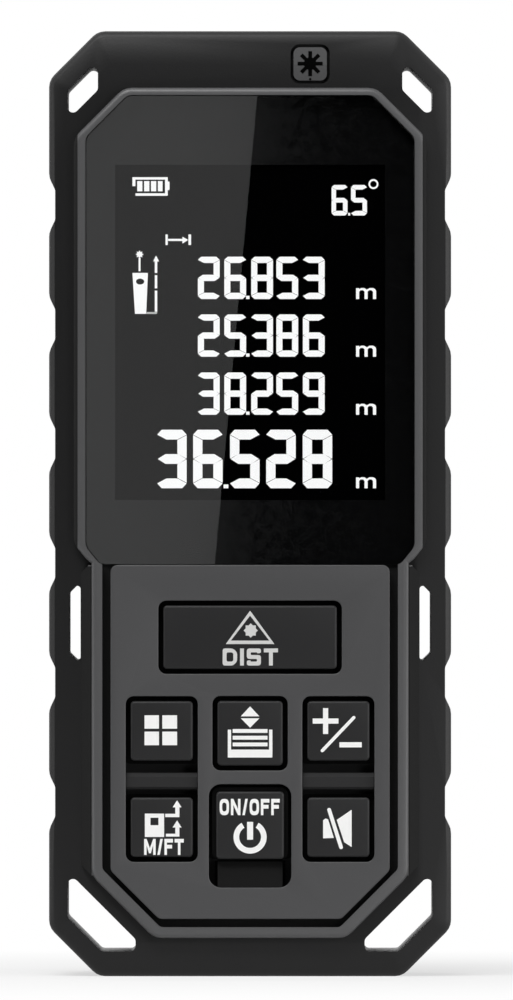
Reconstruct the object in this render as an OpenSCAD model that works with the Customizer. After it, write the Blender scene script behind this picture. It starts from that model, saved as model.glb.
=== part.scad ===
// Laser distance meter, standing on its base. The display and keypad face -Y, the
// beam leaves through the top end (+Z), and the battery door is on the back (+Y).

/* [Body] */
// Width across the grips
body_w = 50.2; // [49.8:0.2:56]
// Height from the base to the beam end
body_h = 118; // [116:0.5:130]
// Depth from the bezel to the back
body_d = 27; // [26.8:0.2:31]
// Leg of the cut across each outer corner
corner_cut = 6.1; // [5.6:0.1:6.6]
// Rounding of the outer corners
corner_r = 2.2; // [0.8:0.1:2.8]
// Distance of the parting plane behind the bezel's front
parting_d = 12; // [11.6:0.1:12.4]
// Thickness of the shell walls
wall = 1.6; // [1.3:0.1:1.9]

/* [Bumper] */
// How far the bumper's front lies behind the bezel's
bumper_front = 1.6; // [1.2:0.1:2.2]
// How far the bumper's back lies in front of the back face
bumper_back = 1.2; // [0.6:0.1:1.8]
// Thickness of the bumper's flange round the bezel
flange_t = 1.5; // [1:0.1:2]
// Thickness of the bumper under the base
base_t = 2.6; // [2.2:0.1:3]
// Thickness of the bumper at the beam end
crown_t = 1.2; // [1:0.1:1.5]
// Width over which the bumper's faces fall towards their edges
crown_w = 4.2; // [3:0.1:5]
// How far the bumper's faces fall towards their edges
crown_drop = 0.45; // [0.2:0.05:0.6]
// Rounding of the bumper's outer edges
bumper_edge = 0.7; // [0.3:0.1:1]
// Number of finger notches on each side
notches = 6; // [4:1:6]
// Distance between notches
notch_pitch = 14.9; // [14:0.1:15.2]
// Height of the lowest notch's middle
notch_z = 21.8; // [20:0.1:24]
// Width of a notch at its mouth
notch_mouth = 6.9; // [6:0.1:8]
// Width of a notch at its floor
notch_floor = 3.75; // [3:0.05:4.5]
// Depth of a notch
notch_depth = 0.76; // [0.4:0.02:1]

/* [Strap eyes] */
// Wall between an eye and the outside
eye_wall = 2.5; // [2.2:0.1:2.8]
// Wall between a corner eye and the body's side
eye_side = 2.3; // [2.1:0.1:2.6]
// Wall between an eye and the shell
eye_web = 0.8; // [0.6:0.1:1]
// Width of the eyes at mid height
side_eye_w = 1.44; // [1:0.02:1.6]
// Length of the eyes at mid height
side_eye_l = 10.4; // [8:0.1:11]
// Height of the side eyes' middle
side_eye_z = 44.1; // [42:0.1:46]
// Width of the eyes across the top corners
top_eye_w = 2.7; // [1.8:0.1:2.8]
// Wall between a top eye and the shell
top_web = 0.5; // [0.4:0.1:0.8]
// Distance of the top eyes' inner ends from the side
top_eye_end = 6.1; // [5.6:0.1:6.6]
// Width of the eyes across the bottom corners
base_eye_w = 4.1; // [3.4:0.1:4.3]
// Height of the bottom eyes above the base
base_eye_z = 3.1; // [2.6:0.1:3.6]
// Distance of the bottom eyes' inner ends from the side
base_eye_end = 10.8; // [10:0.1:11.4]

/* [Bezel] */
// Distance of the bezel's upper part from the body's side
bezel_side = 3.1; // [2.9:0.1:3.4]
// Distance of the bezel's top from the beam end
bezel_top = 7.1; // [6.6:0.1:8]
// Leg of the bezel's upper corner cuts
bezel_cut = 6.25; // [5:0.05:7]
// Rounding of the bezel's corners
bezel_r = 2.4; // [1.6:0.1:3]
// Distance of the bezel's lower part from the body's side
waist_side = 5.3; // [5:0.1:5.5]
// Height at which the bezel starts to widen
waist_z = 51.3; // [51:0.1:52]
// Height over which the bezel widens
waist_rise = 2.7; // [2:0.1:3.4]
// Height of the bezel's lower edge
bezel_base = 4.8; // [4.5:0.1:5.2]
// Leg of the bezel's lower corner cuts
bezel_base_cut = 7.8; // [7:0.1:8.2]
// Width of the bezel's rim beside the window
rim_side = 1.55; // [1.2:0.05:1.8]
// Width of the bezel's rim above the window
rim_top = 1; // [0.8:0.1:1.4]
// Width of the bezel's rim round the keypad
rim_low = 1.35; // [1.2:0.05:1.4]
// Rounding of the bezel's outer edge
rim_edge = 0.6; // [0.2:0.1:0.8]
// Width of the shoulders beside the keypad
shoulder_w = 1.3; // [0.8:0.1:1.4]
// Height of the shoulders over the bumper
shoulder_h = 1; // [0.6:0.1:1.2]

/* [Window and display] */
// How far the window and deck lie behind the bezel's front
face_drop = 0.2; // [0.1:0.05:0.3]
// Thickness of the window
window_t = 1.4; // [1:0.1:1.4]
// Thickness of the window's adhesive gasket
gasket_t = 0.3; // [0.2:0.05:0.4]
// Distance of the display's picture from the body's sides
view_side = 8.25; // [8.25:0.05:10]
// Height of the picture's foot above the waist
view_foot = 8.15; // [8:0.05:10]
// Distance of the picture's top from the beam end
view_top = 16.7; // [16:0.1:18]
// Glass border round the picture
panel_edge = 0.35; // [0.2:0.05:0.4]
// Thickness of the display panel
panel_t = 1.8; // [1.4:0.1:1.9]

/* [Keypad] */
// Gap between the deck and the bezel's rim
groove_w = 1.03; // [0.8:0.01:1.1]
// Leg of the deck's lower corner cuts
deck_cut = 6.05; // [5:0.05:6.5]
// How far the keys lie behind the deck's face
key_drop = 0.05; // [0:0.05:0.3]
// Stroke of a key
key_travel = 0.6; // [0.3:0.05:0.6]
// Gap round a key cap
key_gap = 0.6; // [0.5:0.05:0.65]
// Gap round the power key
power_gap = 0.9; // [0.8:0.05:0.95]
// Rounding of the key corners
key_r = 0.5; // [0.4:0.05:0.8]
// Rounding of the keys' front edges
key_edge = 0.3; // [0.1:0.05:0.35]
// Rounding of the pocket corners
pocket_r = 1; // [0.6:0.1:1.2]
// Width of the measure key
measure_w = 21.7; // [18:0.1:23]
// Height of the measure key
measure_h = 7.95; // [7:0.05:8.2]
// Width of the memory key
memory_w = 8.2; // [7.6:0.1:8.4]
// How much taller the memory key is than the side keys
memory_extra = 0.65; // [0.4:0.05:0.75]
// Width of the power key
power_w = 8.5; // [8:0.1:8.6]
// How much taller the power key is than the side keys
power_extra = 1; // [0.8:0.05:1.1]
// Width of the deck beside the side columns
deck_side = 1.9; // [1.6:0.1:2.1]
// Width of the ribs between the columns
deck_rib = 1.82; // [1.5:0.02:2]
// Height of the deck above the measure key
deck_head = 4.44; // [4:0.02:4.8]
// Height of the rib under the measure key
deck_bar = 2.78; // [2.5:0.02:3]
// Distance between the upper and the lower side keys
deck_step = 4.58; // [4.4:0.02:4.8]
// Height of the deck below the side keys
deck_foot = 7.12; // [7:0.02:7.4]
// Height of the thumb ramp under the power key
ramp_h = 3.2; // [2.6:0.1:3.3]
// Height of the bridges between the side keys
bridge_h = 2.05; // [1.6:0.05:2.2]

/* [Board] */
// Distance of the board's front behind the bezel's
board_y = 7.1; // [7.1:0.1:7.4]
// Thickness of the board
board_t = 1.6; // [1.2:0.1:1.6]
// Height of a dome switch
dome_h = 0.6; // [0.4:0.05:0.7]

/* [Optics] */
// Thickness of the receiver lens at its middle
lens_t = 4; // [3:0.1:4.4]
// Wall of the chassis beside the lens
lens_wall = 1.3; // [1:0.1:1.5]
// Wall of the chassis in front of and behind the lens
lens_floor = 1.2; // [1:0.1:1.4]
// Wall between the lens and the laser barrel
lens_web = 1.1; // [0.9:0.1:1.3]
// Radius of the laser barrel
barrel_r = 3.9; // [3.5:0.1:3.9]
// Wall of the chassis beside the laser barrel
barrel_wall = 1.4; // [1.2:0.1:1.6]
// Distance of the barrel's lower end above the chassis's foot
barrel_foot = 8.4; // [5:0.2:10]
// Gap between the tripod boss and the optics chassis
chassis_gap = 6.3; // [5:0.1:8]
// Side of the square mark pad
mark_w = 4.15; // [3.6:0.05:4.3]
// Distance of the mark pad's middle from the beam end
mark_top = 4.1; // [4:0.1:4.3]

/* [Power] */
// Radius of an AAA cell
cell_r = 5.25; // [5.1:0.05:5.25]
// Length of an AAA cell with its button
cell_l = 44.5; // [43.5:0.1:44.5]
// Length of the room for a contact spring
spring_room = 3.2; // [2.6:0.1:3.6]
// Room between a cell's button and the wall
button_room = 1.3; // [1.2:0.1:1.6]
// Room beside the cells
cell_side = 1.15; // [0.6:0.05:1.2]
// Thickness of the battery door
door_t = 1.6; // [1.4:0.1:1.8]
// Radius of the door's hinge barrel
hinge_r = 1.4; // [1.2:0.05:1.4]
// Radius of the hinge pins
pin_r = 0.7; // [0.5:0.05:0.8]
// Height of the hinge axis
hinge_z = 10.2; // [10.1:0.05:10.4]
// Distance of the tripod thread's axis above the battery door
tripod_rise = 9; // [8:0.5:11]
// Radius of the hole tapped for the tripod thread
tripod_r = 2.55; // [2.3:0.05:2.7]
// Depth of the tripod thread
tripod_l = 5.5; // [4:0.5:6]

/* [Fits] */
// Clearance between parts that slip into each other
fit = 0.1; // [0.05:0.05:0.15]
// Running gap round the door and the keys' flanges
play = 0.2; // [0.15:0.05:0.25]

/* [Hidden] */
$fn = 24;

eps = 0.01;
round_fn = 64;
side_x = body_w / 2;

// Depths, counted from the bezel's front at -Y to the back face at +Y
front_y = -body_d / 2;
back_y = body_d / 2;
parting_y = front_y + parting_d;
bumper_y0 = front_y + bumper_front;
bumper_y1 = back_y - bumper_back;
flange_y = bumper_y0 + flange_t;
face_y = front_y + face_drop;
ledge_y = face_y + window_t + gasket_t;
ledge_back = ledge_y + wall;
block_back = flange_y + wall;
board_y0 = front_y + board_y;
board_y1 = board_y0 + board_t;
lid_y = back_y - door_t;

// The shell inside the bumper: its half width, ends and corner cuts
shell_x = side_x - eye_wall - side_eye_w - eye_web;
shell_z0 = base_t;
shell_z1 = body_h - crown_t;
diagonal = sqrt(2);
shell_cut0 = corner_cut + (eye_wall + base_eye_w + eye_web) * diagonal - (side_x - shell_x) - base_t;
shell_cut1 = corner_cut + (eye_wall + top_eye_w + top_web) * diagonal - (side_x - shell_x) - crown_t;

// The bezel and what lies inside it
bezel_x = side_x - bezel_side;
waist_x = side_x - waist_side;
bezel_z1 = body_h - bezel_top;
inner_x = waist_x - rim_low;
deck_x = inner_x - groove_w;
deck_z0 = bezel_base + rim_low + groove_w;
deck_z1 = waist_z + fit / 2;
window_z0 = deck_z1 + fit;
window_x = bezel_x - rim_side;
window_foot = inner_x + play;
view_w = body_w - 2 * view_side;
view_h = body_h - view_top - waist_z - view_foot;
panel_w = view_w + 2 * panel_edge;
panel_z1 = body_h - view_top + panel_edge;
panel_z0 = panel_z1 - view_h - 2 * panel_edge;
panel_y = ledge_y + fit;
panel_back = panel_y + panel_t;

// The side keys take the room that the deck's ribs leave
key_w = deck_x - deck_side - deck_rib - memory_w / 2 - 3 * key_gap;
column_x = deck_x - deck_side - key_gap - key_w / 2;
key_room = deck_z1 - deck_z0 - deck_head - measure_h - deck_bar - deck_step - deck_foot - 4 * key_gap;
key_h = key_room / 2;
measure_z = deck_z1 - deck_head - key_gap - measure_h / 2;
lower_z = deck_z0 + deck_foot + key_gap + key_h / 2;
upper_z = lower_z + key_h + deck_step;
memory_z = upper_z - 0.3;
memory_h = key_h + memory_extra;
power_z = lower_z + 0.25;
power_h = key_h + power_extra;

// Keys: [x, z, width, height, gap, radius of the stem]
stem_r = 1.5;
keys_all = [
  [0, measure_z, measure_w, measure_h, key_gap, stem_r + 0.5],
  [-column_x, upper_z, key_w, key_h, key_gap, stem_r],
  [0, memory_z, memory_w, memory_h, key_gap, stem_r],
  [column_x, upper_z, key_w, key_h, key_gap, stem_r],
  [-column_x, lower_z, key_w, key_h, key_gap, stem_r],
  [0, power_z, power_w, power_h, power_gap, stem_r],
  [column_x, lower_z, key_w, key_h, key_gap, stem_r]
];
corner_gain = 1.5;
foot_gain = 0.45;
flex_w = 12;
buzzer_r = 4.5;
rib_t = 1.2;
mark_groove = 0.375;
mark_depth = 0.9;
mark_proud = 0.05;
diode_r = 2.8;
collimator_r = 2.6;
flange_w = 0.35;
flange_key_t = 0.9;
collar_w = 0.5;
key_y = face_y + key_drop;
flange_key_y = ledge_y + fit;
dome_y = board_y0 - dome_h;
cup_floor = 0.6;
stem_end = dome_y - cup_floor - key_travel - fit;
column_z0 = lower_z - key_h / 2 - key_gap;
column_z1 = upper_z + key_h / 2 + key_gap;
column_w = key_w + 2 * key_gap;
bridge_z = (upper_z + lower_z) / 2 - 0.25;
ramp_z0 = power_z - power_h / 2 - ramp_h - 0.35;
ramp_w = power_w - 0.4;

// Board and its fasteners
board_x = shell_x - wall - 0.4;
board_z0 = 9;
board_z1 = body_h - 5;
post_r = 1.9;
column_r = 3.1;
head_r = 2.2;
head_h = 1.5;
shank_r = 1.25;
screw_seat_y = back_y - 8;
board_head = 0.9;
board_head_r = 1.6;
board_shank_r = 0.8;
shell_post_x = shell_x - column_r - 1.06;
foot_post_x = shell_post_x - 6.7;
shell_posts = both([[shell_post_x, shell_z1 - 10.8], [foot_post_x, shell_z0 + 2.7]]);
board_posts = both([[board_x - post_r, waist_z + 1.6], [board_x - post_r - 3, board_z0 + 1.6]]);

// Battery bay
cell_y = lid_y - 0.95 - cell_r;
bay_floor = cell_y - cell_r - fit;
tub_t = 1.2;
bay_wall = 1.8;
bay_z0 = 9.6;
bay_l = cell_l + spring_room + button_room;
bay_z1 = bay_z0 + bay_l;
cell_x = cell_r + 0.35;
bay_x = cell_x + cell_r + cell_side;
button_l = 0.9;
plate_l = 0.1;
wire_r = 0.3;
door_x = bay_x + bay_wall - 0.4;
door_z1 = bay_z1 + 2.4;
hinge_y = back_y - hinge_r;
pin_l = 1.8;
catch_w = 8;
catch_slit = 0.6;
nose_t = 0.7;
nose_h = 1;
nose_z = bay_z1 + 1.1;
bush_r = 4.5;
bush_floor = 1;
boss_r = 6.5;
boss_floor = 2.2;
tripod_z = door_z1 + tripod_rise;

// Optics. The lens takes the room between the barrel and the wall, or between the
// board and the back, whichever is less.
bench_y0 = board_y1;
chassis_x = shell_post_x - column_r - 0.3;
beam_x = chassis_x - barrel_wall - barrel_r;
lens_room_x = chassis_x - lens_wall + beam_x - barrel_r - lens_web;
lens_room_y = back_y - wall - 0.3 - bench_y0 - 2 * lens_floor;
lens_r = min(lens_room_x, lens_room_y) / 2;
receiver_x = chassis_x - lens_wall - lens_r;
axis_y = bench_y0 + lens_floor + lens_r;
lip_t = 1;
lip_w = 0.8;
plate_z1 = shell_z1 + 0.4;
lip_z0 = shell_z1 - wall - lip_t;
plate_x = chassis_x - 1.1;
plate_half_y = lens_r + 0.4;
chassis_z1 = lip_z0;
chassis_cut = max(0.3, chassis_x + chassis_z1 + shell_cut1 - shell_x - shell_z1 + (wall + play) * diagonal);
chassis_z0 = tripod_z + boss_r + chassis_gap;
chassis_l = chassis_z1 - chassis_z0;
lens_z = chassis_z1 - 1.4 - lens_t;
cup_z = chassis_z0 + 1.2;
barrel_z1 = chassis_z1 - 1;
barrel_z0 = chassis_z0 + barrel_foot;
bench_x = chassis_x - 1.8;
bench_screws = both([[bench_x, chassis_z0 + 4], [bench_x, chassis_z1 - 5]]);

// --- helpers -------------------------------------------------------------

// Stands an outline drawn in X and Z up as a solid from y0 to y1
module along_y(y0, y1) {
  translate([0, y1, 0]) rotate([90, 0, 0]) linear_extrude(y1 - y0) children();
}

// The same with the edge at y0 rounded
module soft_edged(y0, y1, r) {
  hull() {
    along_y(y0 + r, y1) children();
    for (a = [30:30:90]) along_y(y0 + r - r * sin(a), y0 + r - r * sin(a) + eps)
      offset(delta = r * cos(a) - r) children();
  }
}

module rod_y(x, z, r, y0, y1, r2 = undef) {
  translate([x, y1, z]) rotate([90, 0, 0])
    cylinder(h = y1 - y0, r1 = r, r2 = is_undef(r2) ? r : r2, $fn = round_fn);
}

module rod_z(x, y, r, z0, z1, r2 = undef) {
  translate([x, y, z0])
    cylinder(h = z1 - z0, r1 = r, r2 = is_undef(r2) ? r : r2, $fn = round_fn);
}

module rounded(r) offset(r = r) offset(delta = -r) children();

module both_sides() {
  children();
  mirror([1, 0]) children();
}

// An outline's right half, followed by its mirror image
function mirrored(right) =
  concat(right, [for (i = [len(right) - 1:-1:0]) [-right[i].x, right[i].y]]);

// Places on the right, followed by the same on the left
function both(places) = concat(places, [for (p = places) [-p.x, p.y]]);

// A rectangle in X and Z with its lower and upper corners cut at 45 degrees
module cut_panel(half_w, z0, z1, cut0, cut1) {
  polygon(mirrored([[half_w - cut0, z0], [half_w, z0 + cut0], [half_w, z1 - cut1], [half_w - cut1, z1]]));
}

module centred(x, z, w, h) translate([x - w / 2, z - h / 2]) square([w, h]);

// --- outlines in X and Z -------------------------------------------------

module body_outline() {
  offset(r = -notch_depth) offset(delta = notch_depth) rounded(corner_r) difference() {
    cut_panel(side_x, 0, body_h, corner_cut, corner_cut);
    both_sides() for (i = [0:notches - 1]) translate([side_x, notch_z + i * notch_pitch])
      polygon([[1, -notch_mouth / 2 - 1], [0, -notch_mouth / 2], [-notch_depth, -notch_floor / 2],
               [-notch_depth, notch_floor / 2], [0, notch_mouth / 2], [1, notch_mouth / 2 + 1]]);
  }
}

// One slot across a corner, drawn from the corner where the body's sides would meet
module corner_eye(w, end, floor) {
  near = corner_cut + eye_wall * diagonal;
  far = near + w * diagonal;
  rounded(0.7) intersection() {
    polygon([[near, 0], [far, 0], [0, far], [0, near]]);
    translate([eye_side, floor]) square([end - eye_side, far]);
  }
}

module eyes() {
  both_sides() {
    translate([side_x, body_h]) mirror([1, 0]) mirror([0, 1]) corner_eye(top_eye_w, top_eye_end, eye_side);
    translate([side_x, 0]) mirror([1, 0]) corner_eye(base_eye_w, base_eye_end, base_eye_z);
    translate([side_x - eye_wall, side_eye_z]) rounded(0.4)
      polygon([[0, side_eye_w - side_eye_l / 2], [0, side_eye_l / 2 - side_eye_w],
               [-side_eye_w, side_eye_l / 2], [-side_eye_w, -side_eye_l / 2]]);
  }
}

module shell_outline() rounded(1) cut_panel(shell_x, shell_z0, shell_z1, shell_cut0, shell_cut1);

// The bezel's upper part, which narrows to the waist at its foot
module bezel_head() rounded(bezel_r) {
  right = [[waist_x, waist_z], [bezel_x, waist_z + waist_rise], [bezel_x, bezel_z1 - bezel_cut],
           [bezel_x - bezel_cut, bezel_z1]];
  polygon(mirrored(right));
}

// Its lower part, which runs on inside the upper one
module bezel_foot() rounded(bezel_r)
  cut_panel(waist_x, bezel_base, waist_z + 3 * waist_rise, bezel_base_cut, eps);

module bezel_outline() {
  bezel_head();
  bezel_foot();
}

module window_outline(grow = 0) offset(delta = grow) rounded(bezel_r - rim_top) {
  top = bezel_z1 - rim_top;
  cut = bezel_cut - (rim_side + rim_top) + corner_gain;
  foot_z = window_z0 + waist_rise - foot_gain;
  right = [[window_foot, window_z0], [window_x, foot_z], [window_x, top - cut], [window_x - cut, top]];
  polygon(mirrored(right));
}

module deck_outline() rounded(0.9) cut_panel(deck_x, deck_z0, deck_z1, deck_cut, eps);

module deck_recess() rounded(0.9)
  cut_panel(inner_x, bezel_base + rim_low, window_z0 + 1, bezel_base_cut - 0.55, eps);

module cap_outline(key) rounded(key_r) centred(key[0], key[1], key[2], key[3]);

module pocket_outline(key) rounded(pocket_r)
  centred(key[0], key[1], key[2] + 2 * key[4], key[3] + 2 * key[4]);

module column_pocket() rounded(pocket_r) both_sides()
  translate([column_x - column_w / 2, column_z0]) square([column_w, column_z1 - column_z0]);

module power_pocket() {
  key = keys_all[5];
  half = key[2] / 2 + key[4];
  top = key[1] + key[3] / 2 + key[4];
  rounded(pocket_r + 0.5) translate([-half, ramp_z0]) square([2 * half, top - ramp_z0]);
}

// The openings under the deck that the keys' flanges move in
module flange_openings() {
  side = column_x + column_w / 2 + flange_w + play;
  offset(delta = flange_w + play) {
    pocket_outline(keys_all[0]);
    power_pocket();
  }
  translate([-side, column_z0 - flange_w - play])
    square([2 * side, column_z1 - column_z0 + 2 * (flange_w + play)]);
}

// --- shells and bumpers --------------------------------------------------

module front_shell() color("#4a4a4c") {
  difference() {
    union() {
      along_y(flange_y, parting_y) shell_outline();
      bezel_block();
      shoulders();
    }
    along_y(front_y - 1, ledge_y) {
      window_outline(fit);
      deck_recess();
    }
    along_y(ledge_y - 1, ledge_back + 1) {
      translate([0, (panel_z0 + panel_z1) / 2])
        square([panel_w + 2 * play, panel_z1 - panel_z0 + 2 * play], center = true);
      flange_openings();
    }
    difference() {
      union() {
        along_y(block_back, parting_y + 1) offset(delta = -wall) shell_outline();
        along_y(ledge_back, block_back + eps) offset(delta = -wall) intersection() {
          bezel_outline();
          shell_outline();
        }
      }
      for (p = shell_posts) rod_y(p.x, p.y, column_r - 0.5, ledge_back - 1, parting_y + 2);
      for (p = board_posts) rod_y(p.x, p.y, post_r, ledge_back - 1, board_y0);
    }
    for (p = shell_posts) rod_y(p.x, p.y, shank_r - 0.2, parting_y - 8, parting_y + 3);
    for (p = board_posts) rod_y(p.x, p.y, board_shank_r - 0.1, board_y0 - 3, board_y0 + 1);
    gasket_groove();
    lip_pocket();
  }
}

module bezel_block() {
  soft_edged(front_y, flange_y, rim_edge) bezel_head();
  soft_edged(front_y, flange_y, rim_edge) bezel_foot();
}

// Ramps beside the keypad, down from the bezel to the bumper's face
module shoulders() {
  foot = bezel_base + bezel_base_cut;
  for (s = [-1, 1]) intersection() {
    translate([0, 0, foot]) linear_extrude(waist_z - foot)
      polygon([[s * (waist_x - 0.2), bumper_y0], [s * (waist_x - 0.2), bumper_y0 - shoulder_h],
               [s * (waist_x + 0.1), bumper_y0 - shoulder_h], [s * (waist_x + shoulder_w), bumper_y0],
               [s * (waist_x + shoulder_w), bumper_y0]]);
    along_y(front_y, flange_y)
      cut_panel(waist_x + shoulder_w, foot, waist_z, shoulder_w, 0.7 * shoulder_w);
  }
}

module bumper_prism(y0, y1) along_y(y0, y1) difference() {
  body_outline();
  shell_outline();
  eyes();
}

// A block round both bumpers that crowns their faces and rounds the edges
module bumper_envelope() {
  spare = 0.5;
  // How far each layer stands outside the outline, and its depth below the face
  layers = [[-crown_w, 0], [-bumper_edge, crown_drop], [-0.4 * bumper_edge, crown_drop + 0.4 * bumper_edge],
            [0, crown_drop + bumper_edge], [spare, crown_drop + bumper_edge + 3 * spare]];
  hull() for (l = layers) along_y(bumper_y0 + l[1], bumper_y1 - l[1]) offset(delta = l[0]) body_hull();
}

module body_hull() rounded(corner_r) cut_panel(side_x, 0, body_h, corner_cut, corner_cut);

module bumper_flange() along_y(bumper_y0, flange_y) difference() {
  body_outline();
  bezel_outline();
  eyes();
}

module beam_opening() {
  translate([-plate_x - play, axis_y - plate_half_y - play, shell_z1 - 1])
    cube([2 * (plate_x + play), 2 * (plate_half_y + play), crown_t + 2]);
}

module front_bumper() color("#2f2f31") intersection() {
  difference() {
    union() {
      bumper_flange();
      bumper_prism(flange_y, parting_y);
    }
    beam_opening();
    along_y(bumper_y0 - 1, bumper_y0 + mark_depth) rounded(1.1)
      centred(beam_x, body_h - mark_top, mark_w + 2 * mark_groove, mark_w + 2 * mark_groove);
  }
  bumper_envelope();
}

module rear_bumper() color("#2b2b2d") intersection() {
  difference() {
    bumper_prism(parting_y, bumper_y1);
    beam_opening();
  }
  bumper_envelope();
}

module rear_shell() color("#3b3b3d") {
  difference() {
    union() {
      difference() {
        rear_block();
        along_y(parting_y - 1, back_y - wall) offset(delta = -wall) shell_outline();
      }
      intersection() {
        union() {
          battery_tub();
          for (p = shell_posts) rod_y(p.x, p.y, column_r, parting_y, back_y - eps);
          tripod_boss();
        }
        rear_block();
      }
    }
    bay_space();
    door_recess();
    for (p = shell_posts) {
      rod_y(p.x, p.y, shank_r + 0.2, parting_y - 1, back_y);
      rod_y(p.x, p.y, head_r + fit, screw_seat_y, back_y + 1);
    }
    rod_y(0, tripod_z, bush_r + fit / 2, back_y - tripod_l - bush_floor, back_y + 1);
    gasket_groove();
    lip_pocket();
  }
}

module rear_block() {
  hull() {
    along_y(parting_y, back_y - 0.7) shell_outline();
    along_y(parting_y, back_y) offset(delta = -0.7) shell_outline();
  }
}

// The boss that holds the tripod bush, on ribs that reach the side walls
module tripod_boss() {
  boss_y = back_y - tripod_l - boss_floor;
  rod_y(0, tripod_z, boss_r, boss_y, back_y - eps);
  rib_y = boss_y + 1.5;
  rib_d = back_y - eps - rib_y;
  translate([-shell_x, rib_y, tripod_z - rib_t / 2]) cube([2 * shell_x, rib_d, rib_t]);
  translate([-rib_t / 2, rib_y, door_z1 - 1]) cube([rib_t, rib_d, tripod_z - door_z1 + 1]);
}

module battery_tub() {
  translate([-bay_x - bay_wall, bay_floor - tub_t, bay_z0 - bay_wall])
    cube([2 * (bay_x + bay_wall), lid_y - bay_floor + tub_t, bay_l + 2 * bay_wall + 1.2]);
  for (s = [-1, 1]) translate([s * (door_x + pin_l / 2 + 0.2), 0, 0])
    translate([-pin_l / 2 - 0.6, hinge_y - pin_r - 1.2, hinge_z - 2])
      cube([pin_l + 1.2, back_y - hinge_y + pin_r + 0.6, 4]);
}

module bay_space() {
  translate([-bay_x, bay_floor, bay_z0]) cube([2 * bay_x, back_y - bay_floor, bay_l]);
}

module door_recess() {
  gap_x = door_x + play;
  translate([-gap_x, lid_y, hinge_z]) cube([2 * gap_x, door_t + 1, door_z1 + play - hinge_z]);
  rotate([0, 90, 0]) translate([-hinge_z, hinge_y, -gap_x])
    cylinder(h = 2 * gap_x, r = hinge_r + play, $fn = round_fn);
  translate([-gap_x, hinge_y, hinge_z - hinge_r - play])
    cube([2 * gap_x, back_y - hinge_y + 1, hinge_r + play]);
  rotate([0, 90, 0]) translate([-hinge_z, hinge_y, -gap_x - pin_l])
    cylinder(h = 2 * (gap_x + pin_l), r = pin_r + 0.05, $fn = round_fn);
  translate([-catch_w / 2 - play, lid_y - nose_h - play, nose_z - play])
    cube([catch_w + 2 * play, nose_h + play + 1, nose_t + 2 * play]);
}

module gasket_ring(grow = 0) difference() {
  offset(delta = grow - wall / 2 + 0.35) shell_outline();
  offset(delta = -grow - wall / 2 - 0.35) shell_outline();
}

module gasket_groove() difference() {
  along_y(parting_y - 0.5, parting_y + 0.5) gasket_ring(0.05);
  beam_clear();
  for (p = shell_posts) rod_y(p.x, p.y, 2, parting_y - 1, parting_y + 1);
}

module shell_gasket() color("#c8502a") difference() {
  along_y(parting_y - 0.45, parting_y + 0.45) gasket_ring();
  beam_clear(0.1);
  for (p = shell_posts) rod_y(p.x, p.y, 2.1, parting_y - 1, parting_y + 1);
}

module beam_clear(grow = 0) {
  w = plate_x + lip_w + 1 + grow;
  translate([-w, parting_y - 2, lip_z0 - fit - grow]) cube([2 * w, 4, 4]);
}

// The hole and step for the plate that closes the beam end
module lip_pocket() {
  translate([-plate_x - fit, axis_y - plate_half_y - fit, lip_z0])
    cube([2 * (plate_x + fit), 2 * (plate_half_y + fit), wall + lip_t + 1]);
  translate([-plate_x - lip_w - fit, axis_y - plate_half_y - lip_w - fit, lip_z0 - fit])
    cube([2 * (plate_x + lip_w + fit), 2 * (plate_half_y + lip_w + fit), lip_t + fit]);
}

// --- window and display --------------------------------------------------

module display_window() color("#1a1c1e", 0.6) along_y(face_y, face_y + window_t) window_outline();

module window_gasket() color("#202020") along_y(ledge_y - gasket_t, ledge_y) difference() {
  window_outline(-0.5);
  translate([0, (panel_z0 + panel_z1) / 2]) square([panel_w + 1, panel_z1 - panel_z0 + 1], center = true);
}

module panel_rect(grow) {
  translate([-panel_w / 2 - grow, panel_z0 - grow])
    square([panel_w + 2 * grow, panel_z1 - panel_z0 + 2 * grow]);
}

module lcd_panel() color("#101614") along_y(panel_y, panel_back) panel_rect(0);

module lcd_frame() color("#d8d8d0") {
  foot_x = panel_w / 2 + 0.2;
  feet = both([[foot_x, panel_z0 - 1.2], [foot_x, panel_z1 + 1.2]]);
  back = board_y0 - 1;
  difference() {
    along_y(ledge_back, back) panel_rect(1.4);
    along_y(ledge_back - 1, panel_back) panel_rect(fit);
    along_y(panel_back - 1, back - 0.5) panel_rect(-0.6);
    along_y(back - 1, back + 1) panel_rect(-4);
    translate([-flex_w / 2 - 1, ledge_back - 1, panel_z0 - 3])
      cube([flex_w + 2, panel_back + 1.5 - ledge_back, 4]);
  }
  for (p = feet) rod_y(p.x, p.y, 0.7, back - eps, board_y0);
}

module backlight_plate() color("#f0f4f8") along_y(panel_back + fit, board_y0 - 1.5) panel_rect(-0.8);

module display_flex() color("#c07820") {
  t = 0.2;
  start = panel_back + t / 2 + 0.05;
  end = board_y0 - t / 2;
  path = [[start, panel_z0 + 0.6], [start, panel_z0 - 2.6], [end - 1, panel_z0 - 4.4], [end, panel_z0 - 5.4],
          [end, panel_z0 - 7.4]];
  translate([-flex_w / 2, 0, 0]) rotate([90, 0, 90]) linear_extrude(flex_w) for (i = [0:len(path) - 2]) hull() {
    translate(path[i]) square(t, center = true);
    translate(path[i + 1]) square(t, center = true);
  }
}

// --- keypad --------------------------------------------------------------

module key_deck() color("#505052") along_y(face_y, ledge_y) difference() {
  deck_outline();
  pocket_outline(keys_all[0]);
  pocket_outline(keys_all[2]);
  column_pocket();
  power_pocket();
}

module key_body(key) {
  soft_edged(key_y, flange_key_y + eps, key_edge) cap_outline(key);
  along_y(flange_key_y, flange_key_y + flange_key_t) key_flange(key);
  rod_y(key[0], key[1], key[5], flange_key_y, stem_end);
}

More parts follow.
